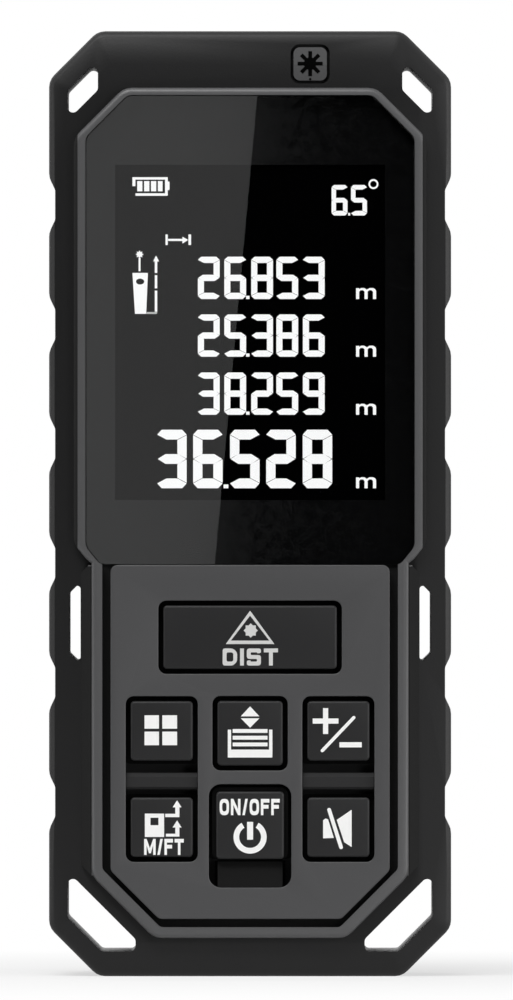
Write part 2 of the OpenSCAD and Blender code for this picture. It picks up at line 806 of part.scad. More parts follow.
// The flange under the deck that holds a key in, cut short where keys share a pocket
module key_flange(key) {
  reach = key[4] + flange_w;
  low = (key == keys_all[1] || key == keys_all[3]) ? 0.4 : key == keys_all[5] ? 0 : reach;
  high = (key == keys_all[4] || key == keys_all[6]) ? 0.4 : reach;
  rounded(pocket_r) translate([key[0] - key[2] / 2 - reach, key[1] - key[3] / 2 - low])
    square([key[2] + 2 * reach, key[3] + low + high]);
}

module key_measure() color("#303032") key_body(keys_all[0]);
module key_mode() color("#303032") key_body(keys_all[1]);
module key_memory() color("#303032") key_body(keys_all[2]);
module key_plus_minus() color("#303032") key_body(keys_all[3]);
module key_unit() color("#303032") key_body(keys_all[4]);

module key_power() color("#303032") {
  key_body(keys_all[5]);
  along_y(key_y + 0.5, flange_key_y + eps) rounded(key_r + 0.4)
    centred(0, power_z + collar_w / 2, power_w + 2 * collar_w, power_h + collar_w);
}

module key_mute() color("#303032") key_body(keys_all[6]);

module mat_outline() {
  side = deck_x - 0.3;
  foot = ramp_z0 - 1.4;
  translate([-side, column_z0 - 1.3]) square([2 * side, deck_z1 - 1.75 - column_z0 + 1.3]);
  translate([-ramp_w / 2 - 3.45, foot]) square([ramp_w + 6.9, column_z0 - foot]);
}

module keypad_mat() color("#242426") {
  difference() {
    along_y(ledge_back, dome_y) mat_outline();
    for (k = keys_all) rod_y(k[0], k[1], k[5] + 0.4, ledge_back - 1, dome_y - cup_floor);
  }
  mat_foot();
  both_bridges();
  thumb_ramp();
}

// Rim that stands the mat on the board
module mat_foot() along_y(dome_y - eps, board_y0) difference() {
  mat_outline();
  offset(delta = -1) mat_outline();
}

module both_bridges() {
  w = column_w - 0.1;
  face = key_y + 0.4;
  side = [[ledge_back, 0], [face + 0.3, 0], [face, 0.3], [face, bridge_h - 0.5], [face + 0.5, bridge_h],
          [ledge_back, bridge_h]];
  for (s = [-1, 1]) translate([s * column_x - w / 2, 0, bridge_z - bridge_h / 2])
    rotate([90, 0, 90]) linear_extrude(w) polygon(side);
}

// The sloping floor under the power key
module thumb_ramp() {
  side = [[ledge_back, 0], [face_y + fit, 0], [face_y + 1 + fit, ramp_h], [ledge_back, ramp_h]];
  translate([-ramp_w / 2, 0, ramp_z0 + fit / 2]) rotate([90, 0, 90]) linear_extrude(ramp_w) polygon(side);
}

module dome_switches() color("#c8b890") for (k = keys_all)
  rod_y(k[0], k[1], 1.2, dome_y, board_y0, r2 = 2.4);

// --- board ---------------------------------------------------------------

module main_pcb() color("#1f5a34") difference() {
  along_y(board_y0, board_y1) intersection() {
    translate([-board_x, board_z0]) square([2 * board_x, board_z1 - board_z0]);
    offset(delta = -wall - 0.4) shell_outline();
  }
  for (p = shell_posts) rod_y(p.x, p.y, column_r - 0.2, board_y0 - 1, board_y1 + 1);
  for (p = board_posts) rod_y(p.x, p.y, board_shank_r + fit, board_y0 - 1, board_y1 + 1);
  for (p = bench_screws) rod_y(p.x, p.y, board_shank_r + fit, board_y0 - 1, board_y1 + 1);
}

module ic_packages() color("#181818") {
  // Each chip: [x, z, width, height, thickness]
  chips = [[0, tripod_z - 2, 7, 7, 1], [9, tripod_z + 2, 4, 4, 0.9], [9, tripod_z - 6, 5, 3.2, 1.3],
           [-2, upper_z + 9, 9, 6, 1.1], [5, upper_z - 3, 4, 5, 1]];
  for (c = chips) along_y(board_y1, board_y1 + c[4]) centred(c[0], c[1], c[2], c[3]);
  // Socket of the display's flex
  along_y(board_y0 - 0.8, board_y0) centred(0, panel_z0 - 8.4, flex_w + 1, 1.8);
}

module buzzer() color("#202020") difference() {
  x = -board_x + buzzer_r + 2.8;
  rod_y(x, tripod_z - 2, buzzer_r, board_y1, board_y1 + 3);
  rod_y(x, tripod_z - 2, 0.8, board_y1 + 2, board_y1 + 4);
}

module screw_y(x, z, head, head_l, r, y_tip, y_seat) {
  dir = y_tip < y_seat ? 1 : -1;
  difference() {
    union() {
      rod_y(x, z, r, min(y_tip, y_seat), max(y_tip, y_seat) + (dir > 0 ? eps : 0));
      if (dir > 0) rod_y(x, z, head, y_seat, y_seat + head_l);
      if (dir < 0) rod_y(x, z, head, y_seat - head_l, y_seat);
    }
    // Six-sided driver socket
    translate([x, dir > 0 ? y_seat + head_l + 1 : y_seat - head_l / 2, z]) rotate([90, 0, 0])
      cylinder(h = 1 + head_l / 2, r = head * 0.5, $fn = 6);
  }
}

module housing_screws() color("#8a8a90") for (p = shell_posts)
  screw_y(p.x, p.y, head_r, head_h, shank_r - 0.2, parting_y - 7, screw_seat_y);

module board_screws() color("#8a8a90") for (p = board_posts)
  screw_y(p.x, p.y, board_head_r, board_head, board_shank_r - 0.1, board_y0 - 2.6, board_y1);

module optics_screws() color("#8a8a90") for (p = bench_screws)
  screw_y(p.x, p.y, board_head_r, board_head, board_shank_r - 0.1, board_y1 + 3, board_y0);

// --- optics --------------------------------------------------------------

module optics_chassis() color("#7c7f84") {
  rx = -receiver_x;
  rib_step = (chassis_l - 6.2) / 3;
  difference() {
    along_y(bench_y0, 2 * axis_y - bench_y0)
      polygon(mirrored([[chassis_x, chassis_z0], [chassis_x, chassis_z1 - chassis_cut],
                        [chassis_x - chassis_cut, chassis_z1]]));
    // Light cone, lens seat and laser bore
    rod_z(rx, axis_y, 1.6, chassis_z0 - 1, cup_z);
    rod_z(rx, axis_y, 2.4, cup_z, lens_z, r2 = lens_r - 0.8);
    rod_z(rx, axis_y, lens_r + fit, lens_z, chassis_z1 + 1);
    rod_z(beam_x, axis_y, barrel_r + fit / 2, chassis_z0 - 1, chassis_z1 + 1);
    // Flanks and back relieved between ribs
    for (i = [0:2]) translate([0, 0, chassis_z0 + 3 + i * rib_step]) {
      for (s = [-1, 1]) translate([s * (chassis_x + 0.5) - 1, axis_y - 2, 0])
        cube([2, lens_r + 5, rib_step - 2.8]);
      translate([2 - chassis_x, 2 * axis_y - bench_y0 - 0.8, 0]) cube([2 * lens_r, 2, rib_step - 2.8]);
    }
    for (p = bench_screws) rod_y(p.x, p.y, board_shank_r - 0.1, bench_y0 - 1, bench_y0 + 3.2);
  }
}

module receiver_lens() color("#cfe4ec", 0.5) translate([-receiver_x, axis_y, lens_z]) {
  sag = lens_t - 1.6;
  ball = (lens_r * lens_r + sag * sag) / (2 * sag);
  intersection() {
    cylinder(h = lens_t, r = lens_r, $fn = round_fn);
    translate([0, 0, lens_t - ball]) sphere(r = ball, $fn = round_fn);
  }
}

module lens_retainer() color("#26282a") difference() {
  rod_z(-receiver_x, axis_y, lens_r, lens_z + lens_t - 0.6, chassis_z1 - fit);
  rod_z(-receiver_x, axis_y, lens_r - 0.9, lens_z, chassis_z1 + 1);
  seat = [[0, 0], [lens_r + 1, 0], [lens_r + 1, 1.7], [lens_r, 1.7], [lens_r - 1.2, lens_t - 0.5],
          [0, lens_t - 0.5]];
  translate([-receiver_x, axis_y, lens_z]) rotate_extrude($fn = round_fn) polygon(seat);
}

module receiver_board() color("#1f5a34")
  translate([-receiver_x - lens_r + 1.5, axis_y - lens_r + 1, chassis_z0 - 1.2])
    cube([2 * lens_r - 3, 2 * lens_r - 2, 1.2]);

module receiver_sensor() color("#b8a060") {
  rx = -receiver_x;
  rod_z(rx, axis_y, 1.5, chassis_z0, chassis_z0 + 1);
  for (s = [-1, 1]) rod_z(rx + s * 0.8, axis_y, 0.2, chassis_z0 - 2.6, chassis_z0 - 1.2);
}

// Bored through, with a seat for the diode below and one for the lens above
module laser_barrel() color("#b08d45") difference() {
  rod_z(beam_x, axis_y, barrel_r, barrel_z0, barrel_z1);
  rod_z(beam_x, axis_y, diode_r - 0.8, barrel_z0 - 1, barrel_z1 + 1);
  rod_z(beam_x, axis_y, diode_r + fit, barrel_z0 - 1, barrel_z0 + 3);
  rod_z(beam_x, axis_y, collimator_r + fit, barrel_z1 - 3, barrel_z1 + 1);
}

module collimator_lens() color("#b8dce8", 0.6) {
  rod_z(beam_x, axis_y, collimator_r, barrel_z1 - 3, barrel_z1 - 1);
  translate([beam_x, axis_y, barrel_z1 - 1 - eps])
    cylinder(h = 0.7, r1 = collimator_r - 0.3, r2 = 1.1, $fn = round_fn);
}

module laser_diode() color("#c0a050") {
  rod_z(beam_x, axis_y, diode_r, barrel_z0 + 1.8, barrel_z0 + 3);
  rod_z(beam_x, axis_y, diode_r - 0.9, barrel_z0 + 3 - eps, barrel_z0 + 5.4);
  for (a = [90, 210, 330])
    rod_z(beam_x + 1.1 * cos(a), axis_y + 1.1 * sin(a), 0.22, barrel_z0 - 4, barrel_z0 + 1.8 + eps);
}

module top_plate() color("#141416") difference() {
  union() {
    translate([-plate_x, axis_y - plate_half_y, lip_z0 + eps])
      cube([2 * plate_x, 2 * plate_half_y, plate_z1 - lip_z0 - eps]);
    translate([-plate_x - lip_w, axis_y - plate_half_y - lip_w, lip_z0])
      cube([2 * (plate_x + lip_w), 2 * (plate_half_y + lip_w), lip_t]);
  }
  for (a = apertures()) {
    rod_z(a[0], axis_y, a[1], lip_z0 - 1, plate_z1 + 1);
    rod_z(a[0], axis_y, a[1] + 0.5, plate_z1 - 1.2, plate_z1 + 1);
  }
}

// Apertures in the top plate: [x, radius]
function apertures() = [[-receiver_x, lens_r - 0.9], [beam_x, 2.1]];

module exit_windows() color("#9fb8c4", 0.5) for (a = apertures())
  rod_z(a[0], axis_y, a[1] + 0.45, plate_z1 - 1.2, plate_z1 - 0.3);

// Follows the crown of the bumper's face
module beam_mark_pad() color("#5c5c5e") intersection() {
  along_y(bumper_y0 - 1, bumper_y0 + mark_depth) rounded(0.8)
    centred(beam_x, body_h - mark_top, mark_w, mark_w);
  translate([0, -mark_proud, 0]) bumper_envelope();
}

// --- power ---------------------------------------------------------------

module battery_door() color("#3b3b3d") difference() {
  union() {
    along_y(lid_y, back_y) rounded(0.6) translate([-door_x, hinge_z - 0.6])
      square([2 * door_x, door_z1 - hinge_z + 0.6]);
    rotate([0, 90, 0]) translate([-hinge_z, hinge_y, -door_x])
      cylinder(h = 2 * door_x, r = hinge_r, $fn = round_fn);
    rotate([0, 90, 0]) translate([-hinge_z, hinge_y, -door_x - pin_l])
      cylinder(h = 2 * (door_x + pin_l), r = pin_r, $fn = round_fn);
    translate([-catch_w / 2, lid_y - nose_h, nose_z]) cube([catch_w, nose_h + 0.5, nose_t]);
  }
  // Slits that free the catch, and the grip ribs on it
  slit_x = catch_w / 2 + catch_slit / 2 + 0.2;
  for (s = [-1, 1]) translate([s * slit_x - catch_slit / 2, lid_y - 2, door_z1 - 8])
    cube([catch_slit, door_t + 4, 9]);
  for (i = [0:3]) translate([1 - catch_w / 2, back_y - 0.3, door_z1 - 2.2 - 1.4 * i])
    cube([catch_w - 2, 1, 0.7]);
}

module door_foam() color("#505050") translate([-bay_x + 1.5, lid_y - 0.7, bay_z0 + 8])
  cube([2 * bay_x - 3, 0.7, bay_l - 14]);

// A cell that stands on its flat end, with its button up
module cell() {
  rod_z(0, 0, cell_r, 0, cell_l - button_l);
  rod_z(0, 0, 1.9, cell_l - button_l - eps, cell_l);
}

module cell_left() color("#707478") translate([-cell_x, cell_y, bay_z0 + spring_room]) cell();
module cell_right() color("#707478") translate([cell_x, cell_y, bay_z1 - spring_room]) mirror([0, 0, 1]) cell();

function coil_point(t, turns, r0, r1, l) = let (r = r0 + (r1 - r0) * t, a = 360 * turns * t)
  [r * cos(a), r * sin(a), l * t];

// A wire of six sides swept along a cone-shaped coil
module coil_spring(turns, r0, r1, l, wire) {
  steps = 14 * turns;
  ring = 6;
  points = [for (i = [0:steps]) let (t = i / steps, a = 360 * turns * t)
    for (j = [0:ring - 1]) let (b = 360 * j / ring)
      coil_point(t, turns, r0, r1, l) + wire * [cos(a) * cos(b), sin(a) * cos(b), sin(b)]];
  faces = concat([[for (j = [0:ring - 1]) j]],
    [for (i = [0:steps - 1]) for (j = [0:ring - 1]) let (a = i * ring, k = (j + 1) % ring)
      [a + j, a + ring + j, a + ring + k, a + k]],
    [[for (j = [ring - 1:-1:0]) steps * ring + j]]);
  polyhedron(points, faces, convexity = 4);
}

// One spring stands under the left cell, the other hangs over the right one
module contact_springs() color("#c8c8cc") {
  gap = 0.05;
  start = plate_l + wire_r + gap;
  l = spring_room - start - wire_r - gap;
  translate([-cell_x, cell_y, bay_z0 + start]) coil_spring(3, 3.4, 1.9, l, wire_r);
  translate([cell_x, cell_y, bay_z1 - start]) mirror([0, 0, 1]) coil_spring(3, 3.4, 1.9, l, wire_r);
}

module contact_plates() color("#c8c8cc") for (z = [bay_z0, bay_z1 - plate_l])
  translate([-cell_x - 4, cell_y - 4, z]) cube([2 * cell_x + 8, 8, plate_l]);

module tripod_bush() color("#b89a50") difference() {
  rod_y(0, tripod_z, bush_r, back_y - tripod_l - bush_floor, back_y);
  rod_y(0, tripod_z, tripod_r, back_y - tripod_l, back_y + 1);
}

front_shell();
front_bumper();
rear_shell();
rear_bumper();
shell_gasket();
display_window();
window_gasket();
lcd_panel();
lcd_frame();
backlight_plate();
display_flex();
key_deck();
keypad_mat();
key_measure();
key_mode();
key_memory();
key_plus_minus();
key_unit();
key_power();
key_mute();
dome_switches();
main_pcb();
ic_packages();
buzzer();
optics_chassis();
receiver_lens();
lens_retainer();
receiver_board();
receiver_sensor();
laser_barrel();
collimator_lens();
laser_diode();
top_plate();
exit_windows();
beam_mark_pad();
battery_door();
door_foam();
cell_left();
cell_right();
contact_springs();
contact_plates();
tripod_bush();
housing_screws();
board_screws();
optics_screws();
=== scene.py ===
import bmesh
import bpy
import math
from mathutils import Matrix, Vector


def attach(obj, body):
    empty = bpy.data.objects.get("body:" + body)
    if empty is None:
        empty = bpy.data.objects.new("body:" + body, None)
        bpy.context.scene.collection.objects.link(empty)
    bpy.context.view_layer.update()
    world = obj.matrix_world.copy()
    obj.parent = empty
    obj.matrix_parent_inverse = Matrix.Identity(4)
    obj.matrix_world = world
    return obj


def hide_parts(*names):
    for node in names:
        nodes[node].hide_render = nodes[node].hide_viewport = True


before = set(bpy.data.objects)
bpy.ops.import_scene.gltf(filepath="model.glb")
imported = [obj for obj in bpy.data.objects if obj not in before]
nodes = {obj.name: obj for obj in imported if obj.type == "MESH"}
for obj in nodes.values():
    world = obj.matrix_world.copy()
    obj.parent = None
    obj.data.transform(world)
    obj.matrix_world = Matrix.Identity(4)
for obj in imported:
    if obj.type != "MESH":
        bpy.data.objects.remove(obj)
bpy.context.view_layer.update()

mm = 0.001

print("frame loaded:", len(nodes), "nodes")


# modelling helpers

def deselectAll():
    if bpy.context.object and bpy.context.object.mode != "OBJECT":
        bpy.ops.object.mode_set(mode="OBJECT")
    bpy.ops.object.select_all(action="DESELECT")


def pick(piece):
    deselectAll()
    piece.select_set(True)
    bpy.context.view_layer.objects.active = piece


def linked(name, data):  # a new object in the scene
    piece = bpy.data.objects.new(name, data)
    bpy.context.scene.collection.objects.link(piece)
    return piece


def settle(piece):  # puts the piece's place into its mesh
    pick(piece)
    bpy.ops.object.transform_apply(location=True, rotation=True, scale=True)


def cut(piece, tool, operation):  # a boolean with a tool that is then thrown away
    pick(piece)
    modifier = piece.modifiers.new("cut", "BOOLEAN")
    modifier.operation = operation
    modifier.object = tool
    modifier.solver = "EXACT"
    bpy.ops.object.modifier_apply(modifier=modifier.name)
    bpy.data.objects.remove(tool, do_unlink=True)


def smooth(piece, degrees):
    pick(piece)
    bpy.ops.object.shade_smooth_by_angle(angle=math.radians(degrees))


copying = {"merge": 0.002, "flat": 0.5}  # points this close in millimetres, faces this flat in degrees


def cadCopy(node, name):  # a merged copy of a CAD node, ready for editing
    piece = linked(name, nodes[node].data.copy())
    piece.data.name = name
    pick(piece)
    bpy.ops.object.mode_set(mode="EDIT")
    bpy.ops.mesh.select_all(action="SELECT")
    bpy.ops.mesh.remove_doubles(threshold=copying["merge"] * mm)
    bpy.ops.mesh.dissolve_limited(angle_limit=math.radians(copying["flat"]))
    bpy.ops.object.mode_set(mode="OBJECT")
    if piece.data.has_custom_normals:
        bpy.ops.mesh.customdata_custom_splitnormals_clear()
    return piece


def frontOf(piece):  # the level of a piece's foremost point, in millimetres
    return min(corner.co.y for corner in piece.data.vertices) / mm


def roundMouths(piece, look):  # rounds the sharp outward edges that lie in the piece's front face
    least = math.radians(look["sharp"])
    level = (frontOf(piece) + look["depth"]) * mm
    pick(piece)
    bpy.ops.object.mode_set(mode="EDIT")
    bpy.ops.mesh.select_mode(type="EDGE")
    bpy.ops.mesh.select_all(action="DESELECT")
    work = bmesh.from_edit_mesh(piece.data)
    chosen = [edge for edge in work.edges
              if len(edge.link_faces) == 2 and max(corner.co.y for corner in edge.verts) < level
              and edge.calc_face_angle_signed(0) > least]
    for edge in chosen:
        edge.select_set(True)
    bmesh.update_edit_mesh(piece.data)
    bpy.ops.mesh.bevel(offset=look["round"] * mm, segments=look["segments"], profile=0.5, clamp_overlap=True)
    bpy.ops.object.mode_set(mode="OBJECT")
    return len(chosen)


def join(pieces, name):
    pick(pieces[0])
    for piece in pieces[1:]:
        piece.select_set(True)
    if len(pieces) > 1:
        bpy.ops.object.join()
    joined = bpy.context.object
    joined.name = name
    joined.data.name = name
    return joined


# flat marks: closed loops of points in X and Z, in millimetres, filled and given a thickness
markSetup = {"thick": 0.03, "endSteps": 6, "ringSteps": 40, "coreSteps": 4, "softSteps": 4,
             "softShare": 0.48, "starRays": 8, "space": 0.17}


def box(x0, x1, z0, z1):
    return [(x0, z0), (x1, z0), (x1, z1), (x0, z1)]


def arc(x, z, radius, first, last, steps, squash=1):  # points along a turn, angles in radians
    turns = [first + (last - first) * step / steps for step in range(steps + 1)]
    return [(x + radius * math.cos(a), z + radius * squash * math.sin(a)) for a in turns]


def bar(start, end, width):  # a stroke with round ends
    (x0, z0), (x1, z1) = start, end
    turn = math.atan2(z1 - z0, x1 - x0)
    half, quarter, steps = width / 2, math.pi / 2, markSetup["endSteps"]
    return (arc(x1, z1, half, turn - quarter, turn + quarter, steps)
            + arc(x0, z0, half, turn + quarter, turn + 3 * quarter, steps))


def disc(x, z, radius, steps=32, squash=1):
    return arc(x, z, radius, 0, 2 * math.pi, steps, squash)[:-1]


def arcBand(x, z, outer, inner, first, last):  # part of a ring, angles in degrees
    first, last, steps = math.radians(first), math.radians(last), markSetup["ringSteps"]
    return arc(x, z, outer, first, last, steps) + arc(x, z, inner, last, first, steps)


def cross(x, z, arm, half):  # a plus sign as one loop
    corners = [(-half, -arm), (half, -arm), (half, -half), (arm, -half), (arm, half), (half, half),
               (half, arm), (-half, arm), (-half, half), (-arm, half), (-arm, -half), (-half, -half)]
    return [(x + px, z + pz) for px, pz in corners]


def star(x, z, outer, inner):
    loop = []
    rays = markSetup["starRays"]
    for ray in range(2 * rays):
        reach = inner if ray % 2 else outer
        a = math.pi * ray / rays
        loop.append((x + reach * math.cos(a), z + reach * math.sin(a)))
    return loop


def rayStar(x, z, look):  # straight rays round a disc, as one loop
    loop = []
    half = look["width"] / 2
    apart = 2 * math.pi / look["rays"]
    root = math.asin(half / look["core"])
    for ray in range(look["rays"]):
        a = math.pi / 2 + apart * ray
        ahead, aside = (math.cos(a), math.sin(a)), (-math.sin(a), math.cos(a))
        loop.append((x + look["core"] * math.cos(a - root), z + look["core"] * math.sin(a - root)))
        for side in (-half, half):
            loop.append((x + look["reach"] * ahead[0] + side * aside[0],
                         z + look["reach"] * ahead[1] + side * aside[1]))
        loop += arc(x, z, look["core"], a + root, a + apart - root, markSetup["coreSteps"])[:-1]
    return loop


def flatMark(name, groups, level, thick=markSetup["thick"]):
    # each group of loops is filled by itself, so that a loop inside another one is a hole
    made = []
    for loops in groups:
        curve = bpy.data.curves.new(name, "CURVE")
        curve.dimensions = "2D"
        curve.fill_mode = "BOTH"
        curve.extrude = thick / 2 * mm
        for loop in loops:
            spline = curve.splines.new("POLY")
            spline.points.add(len(loop) - 1)
            spline.use_cyclic_u = True
            for point, (x, z) in zip(spline.points, loop):
                point.co = (x * mm, z * mm, 0, 1)
        piece = linked(name, curve)
        pick(piece)
        bpy.ops.object.convert(target="MESH")
        made.append(piece)
    mark = join(made, name)
    mark.rotation_euler = (math.pi / 2, 0, 0)  # stands up and faces the user
    mark.location = (0, level * mm, 0)
    settle(mark)
    return mark


def softLoop(points, radius):  # a closed loop with every corner rounded
    loop = []
    steps, share = markSetup["softSteps"], markSetup["softShare"]
    for i, point in enumerate(points):
        corner = Vector(point)
        before, after = Vector(points[i - 1]) - corner, Vector(points[(i + 1) % len(points)]) - corner
        reach = min(radius, before.length * share, after.length * share)
        start, end = corner + before.normalized() * reach, corner + after.normalized() * reach
        for step in range(steps + 1):
            t = step / steps
            loop.append(tuple(start * (1 - t) ** 2 + corner * 2 * t * (1 - t) + end * t ** 2))
    return loop


# block letters, one unit high: the width of each, and its loops with a stroke s
def letterShapes(s):
    return {
        "D": (0.86, [softLoop([(0, 0), (0.62, 0), (0.86, 0.24), (0.86, 0.76), (0.62, 1), (0, 1)], 0.14),
                     softLoop([(s, s), (0.55, s), (0.86 - s, 0.3), (0.86 - s, 0.7), (0.55, 1 - s),
                               (s, 1 - s)], 0.1)]),
        "I": (s, [box(0, s, 0, 1)]),
        "S": (0.84, [softLoop([(0, 0.3), (0, 0), (0.84, 0), (0.84, 0.5 + s / 2), (s, 0.5 + s / 2),
                               (s, 1 - s), (0.84 - s, 1 - s), (0.84 - s, 0.72), (0.84, 0.72), (0.84, 1),
                               (0, 1), (0, 0.5 - s / 2), (0.84 - s, 0.5 - s / 2), (0.84 - s, s), (s, s),
                               (s, 0.3)], 0.17)]),
        "T": (0.84, [[(0.42 - s / 2, 0), (0.42 + s / 2, 0), (0.42 + s / 2, 1 - s), (0.84, 1 - s), (0.84, 1),
                      (0, 1), (0, 1 - s), (0.42 - s / 2, 1 - s)]]),
        "O": (0.86, [softLoop(box(0, 0.86, 0, 1), 0.36), softLoop(box(s, 0.86 - s, s, 1 - s), 0.2)]),
        "N": (0.88, [[(0, 0), (s, 0), (s, 0.62), (0.88 - s, 0), (0.88, 0), (0.88, 1), (0.88 - s, 1),
                      (0.88 - s, 0.38), (s, 1), (0, 1)]]),
        "F": (0.78, [[(0, 0), (s, 0), (s, 0.4), (0.7, 0.4), (0.7, 0.4 + s), (s, 0.4 + s), (s, 1 - s),
                      (0.78, 1 - s), (0.78, 1), (0, 1)]]),
        "M": (1.06, [[(0, 0), (s, 0), (s, 0.6), (0.44, 0.1), (0.62, 0.1), (1.06 - s, 0.6), (1.06 - s, 0),
                      (1.06, 0), (1.06, 1), (1.06 - s, 1), (0.53, 0.42), (s, 1), (0, 1)]]),
        "/": (0.5, [[(0, 0), (s, 0), (0.5, 1), (0.5 - s, 1)]]),
        "m": (1.16, [[(0, 0), (s, 0), (s, 0.46), (0.26, 0.56), (0.41, 0.56), (0.49, 0.46), (0.49, 0),
                      (0.67, 0), (0.67, 0.46), (0.75, 0.56), (0.9, 0.56), (0.98, 0.46), (0.98, 0), (1.16, 0),
                      (1.16, 0.5), (1.12, 0.62), (0.98, 0.7), (0.78, 0.7), (0.62, 0.6), (0.48, 0.7),
                      (0.3, 0.7), (s, 0.63), (s, 0.69), (0, 0.69)]]),
    }


def word(name, letters, level, look):  # a word centred on x that stands on z, as wide as asked
    shapes = letterShapes(look["stroke"])
    space = look.get("space", markSetup["space"])
    full = sum(shapes[letter][0] for letter in letters) + space * (len(letters) - 1)
    across = look["width"] / full
    groups = []
    at = look["x"] - look["width"] / 2
    for letter in letters:
        wide, loops = shapes[letter]
        groups.append([[(at + px * across, look["z"] + pz * look["height"]) for px, pz in loop]
                       for loop in loops])
        at += (wide + space) * across
    return flatMark(name, groups, level)


def carried(piece, body, slot, finish, *replaced):  # sets the piece's material and body, and hides the CAD nodes it replaces; the slot is not used
    piece.data.materials.clear()
    piece.data.materials.append(finish)
    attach(piece, body)
    if replaced:
        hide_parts(*replaced)


# a value in a node tree; sums of values add Math nodes
class Amount:
    def __init__(self, finish, socket):
        self.finish = finish
        self.socket = socket

    def maths(self, operation, *values):
        return self.finish.node("ShaderNodeMath", {"operation": operation}, dict(enumerate(values)))

    def __add__(self, other):
        return self.maths("ADD", self, other)

    def __radd__(self, other):
        return self.maths("ADD", other, self)

    def __sub__(self, other):
        return self.maths("SUBTRACT", self, other)

    def __rsub__(self, other):
        return self.maths("SUBTRACT", other, self)

    def __mul__(self, other):
        return self.maths("MULTIPLY", self, other)

    def __rmul__(self, other):
        return self.maths("MULTIPLY", other, self)

    def __truediv__(self, other):
        return self.maths("DIVIDE", self, other)

    def __rtruediv__(self, other):
        return self.maths("DIVIDE", other, self)

    def __pow__(self, other):
        return self.maths("POWER", self, other)

    def __rpow__(self, other):
        return self.maths("POWER", other, self)

    def __abs__(self):
        return self.maths("ABSOLUTE", self)

    def above(self, level):
        return self.maths("GREATER_THAN", self, level)

    def least(self, other):
        return self.maths("MINIMUM", self, other)

    def most(self, other):
        return self.maths("MAXIMUM", self, other)

    def clipped(self):
        return self.most(0).least(1)


class Finish:
    def __init__(self, owner):  # a material, or the world
        owner.use_nodes = True
        self.owner = owner
        self.nodes = owner.node_tree.nodes
        self.links = owner.node_tree.links
        self.nodes.clear()

    # every node comes from here: its settings are set first, then its sockets get values or links
    def node(self, kind, settings=None, sockets=None, output=0):
        made = self.nodes.new(kind)
        for key, value in (settings or {}).items():
            setattr(made, key, value)
        for key, value in (sockets or {}).items():
            if isinstance(value, Amount):
                self.links.new(value.socket, made.inputs[key])
            else:
                made.inputs[key].default_value = value
        if made.outputs:
            return Amount(self, made.outputs[output])

    def place(self, stretch=(1, 1, 1)):  # object coordinates, stretched along an axis for brushed marks
        spot = self.node("ShaderNodeTexCoord", output="Object")
        if stretch == (1, 1, 1):
            return spot
        return self.node("ShaderNodeMapping", None, {"Vector": spot, "Scale": stretch})

    def noise(self, scale, detail, stretch=(1, 1, 1)):
        return self.node("ShaderNodeTexNoise", None,
                         {"Vector": self.place(stretch), "Scale": scale, "Detail": detail})

    def blend(self, amount, first, second):  # a mix of two colours
        return self.node("ShaderNodeMix", {"data_type": "RGBA"}, {0: amount, 6: first, 7: second}, 2)

    def mottled(self, amount, colour, darker, lighter=0.0):  # a colour that varies about itself
        return self.blend(amount, shaded(colour, 1 - darker), shaded(colour, 1 + lighter))

    def axis(self, name):  # one of the object coordinates, in metres
        return self.node("ShaderNodeSeparateXYZ", None, {0: self.place()}, name)

    def bump(self, height, distance, strength):
        return self.node("ShaderNodeBump", None,
                         {"Height": height, "Distance": distance * mm, "Strength": strength})

    def rays(self, *kinds):  # 1 for rays of these kinds, 0 for all others
        seen = [self.node("ShaderNodeLightPath", output="Is %s Ray" % kind) for kind in kinds]
        return sum(seen[1:], seen[0]).least(1)

    def light(self, strength):
        return self.node("ShaderNodeEmission", None, {"Color": (1, 1, 1, 1), "Strength": strength})

    def mixed(self, amount, first, second):
        return self.node("ShaderNodeMixShader", None, {0: amount, 1: first, 2: second})

    def principled(self, sockets):
        return self.node("ShaderNodeBsdfPrincipled", None, sockets)

    def close(self, shader, kind="ShaderNodeOutputMaterial"):  # the end of the tree
        self.node(kind, None, {"Surface": shader})
        return self.owner


def shaded(colour, factor=1):  # a socket's colour, darker or lighter
    return (*(min(1.0, part * factor) for part in colour), 1.0)


# moulded plastic or rubber: clouds in the colour, a fine grain in colour, gloss and height;
# a look with a second, darker colour shows it wherever zone(finish) is 1, as painted shade in the gaps and
# recesses of the piece
mouldedUsual = {"grainDetail": 3, "cloudDetail": 2, "cloudShare": 0.7, "specular": 0.5,
                "roughSpread": 0.12, "relief": 0.6, "dullRough": 0.8, "dullSpecular": 0.08}


def moulded(name, look, zone=None):
    look = {**mouldedUsual, **look}
    finish = Finish(bpy.data.materials.new(name))
    grain = finish.noise(look["grain"], look["grainDetail"])
    clouds = finish.noise(look["clouds"], look["cloudDetail"])
    shade = (clouds * look["cloudShare"] + grain * (1 - look["cloudShare"])).clipped()
    relief = finish.bump(grain, look["height"], look["relief"])

    def coat(colour, rough, specular):
        return finish.principled({
            "Base Color": finish.mottled(shade, colour, look["spread"], look["spread"]),
            "Roughness": rough + (grain - 0.5) * look["roughSpread"],
            "Specular IOR Level": specular, "Normal": relief})

    surface = coat(look["colour"], look["rough"], look["specular"])
    # the darker coat is painted shade, laid where zone(finish) is 1
    if zone:
        paintedShade = coat(look["paintedShade"], look["dullRough"], look["dullSpecular"])
        surface = finish.mixed(zone(finish), surface, paintedShade)
    return finish.close(surface)


# metal: long fine marks along one axis, or round ones where stretch is even
metalUsual = {"stretch": (1, 1, 1), "markDetail": 3, "clouds": 180, "cloudDetail": 2, "cloudShare": 0.6,
              "roughSpread": 0.2, "relief": 0.5}


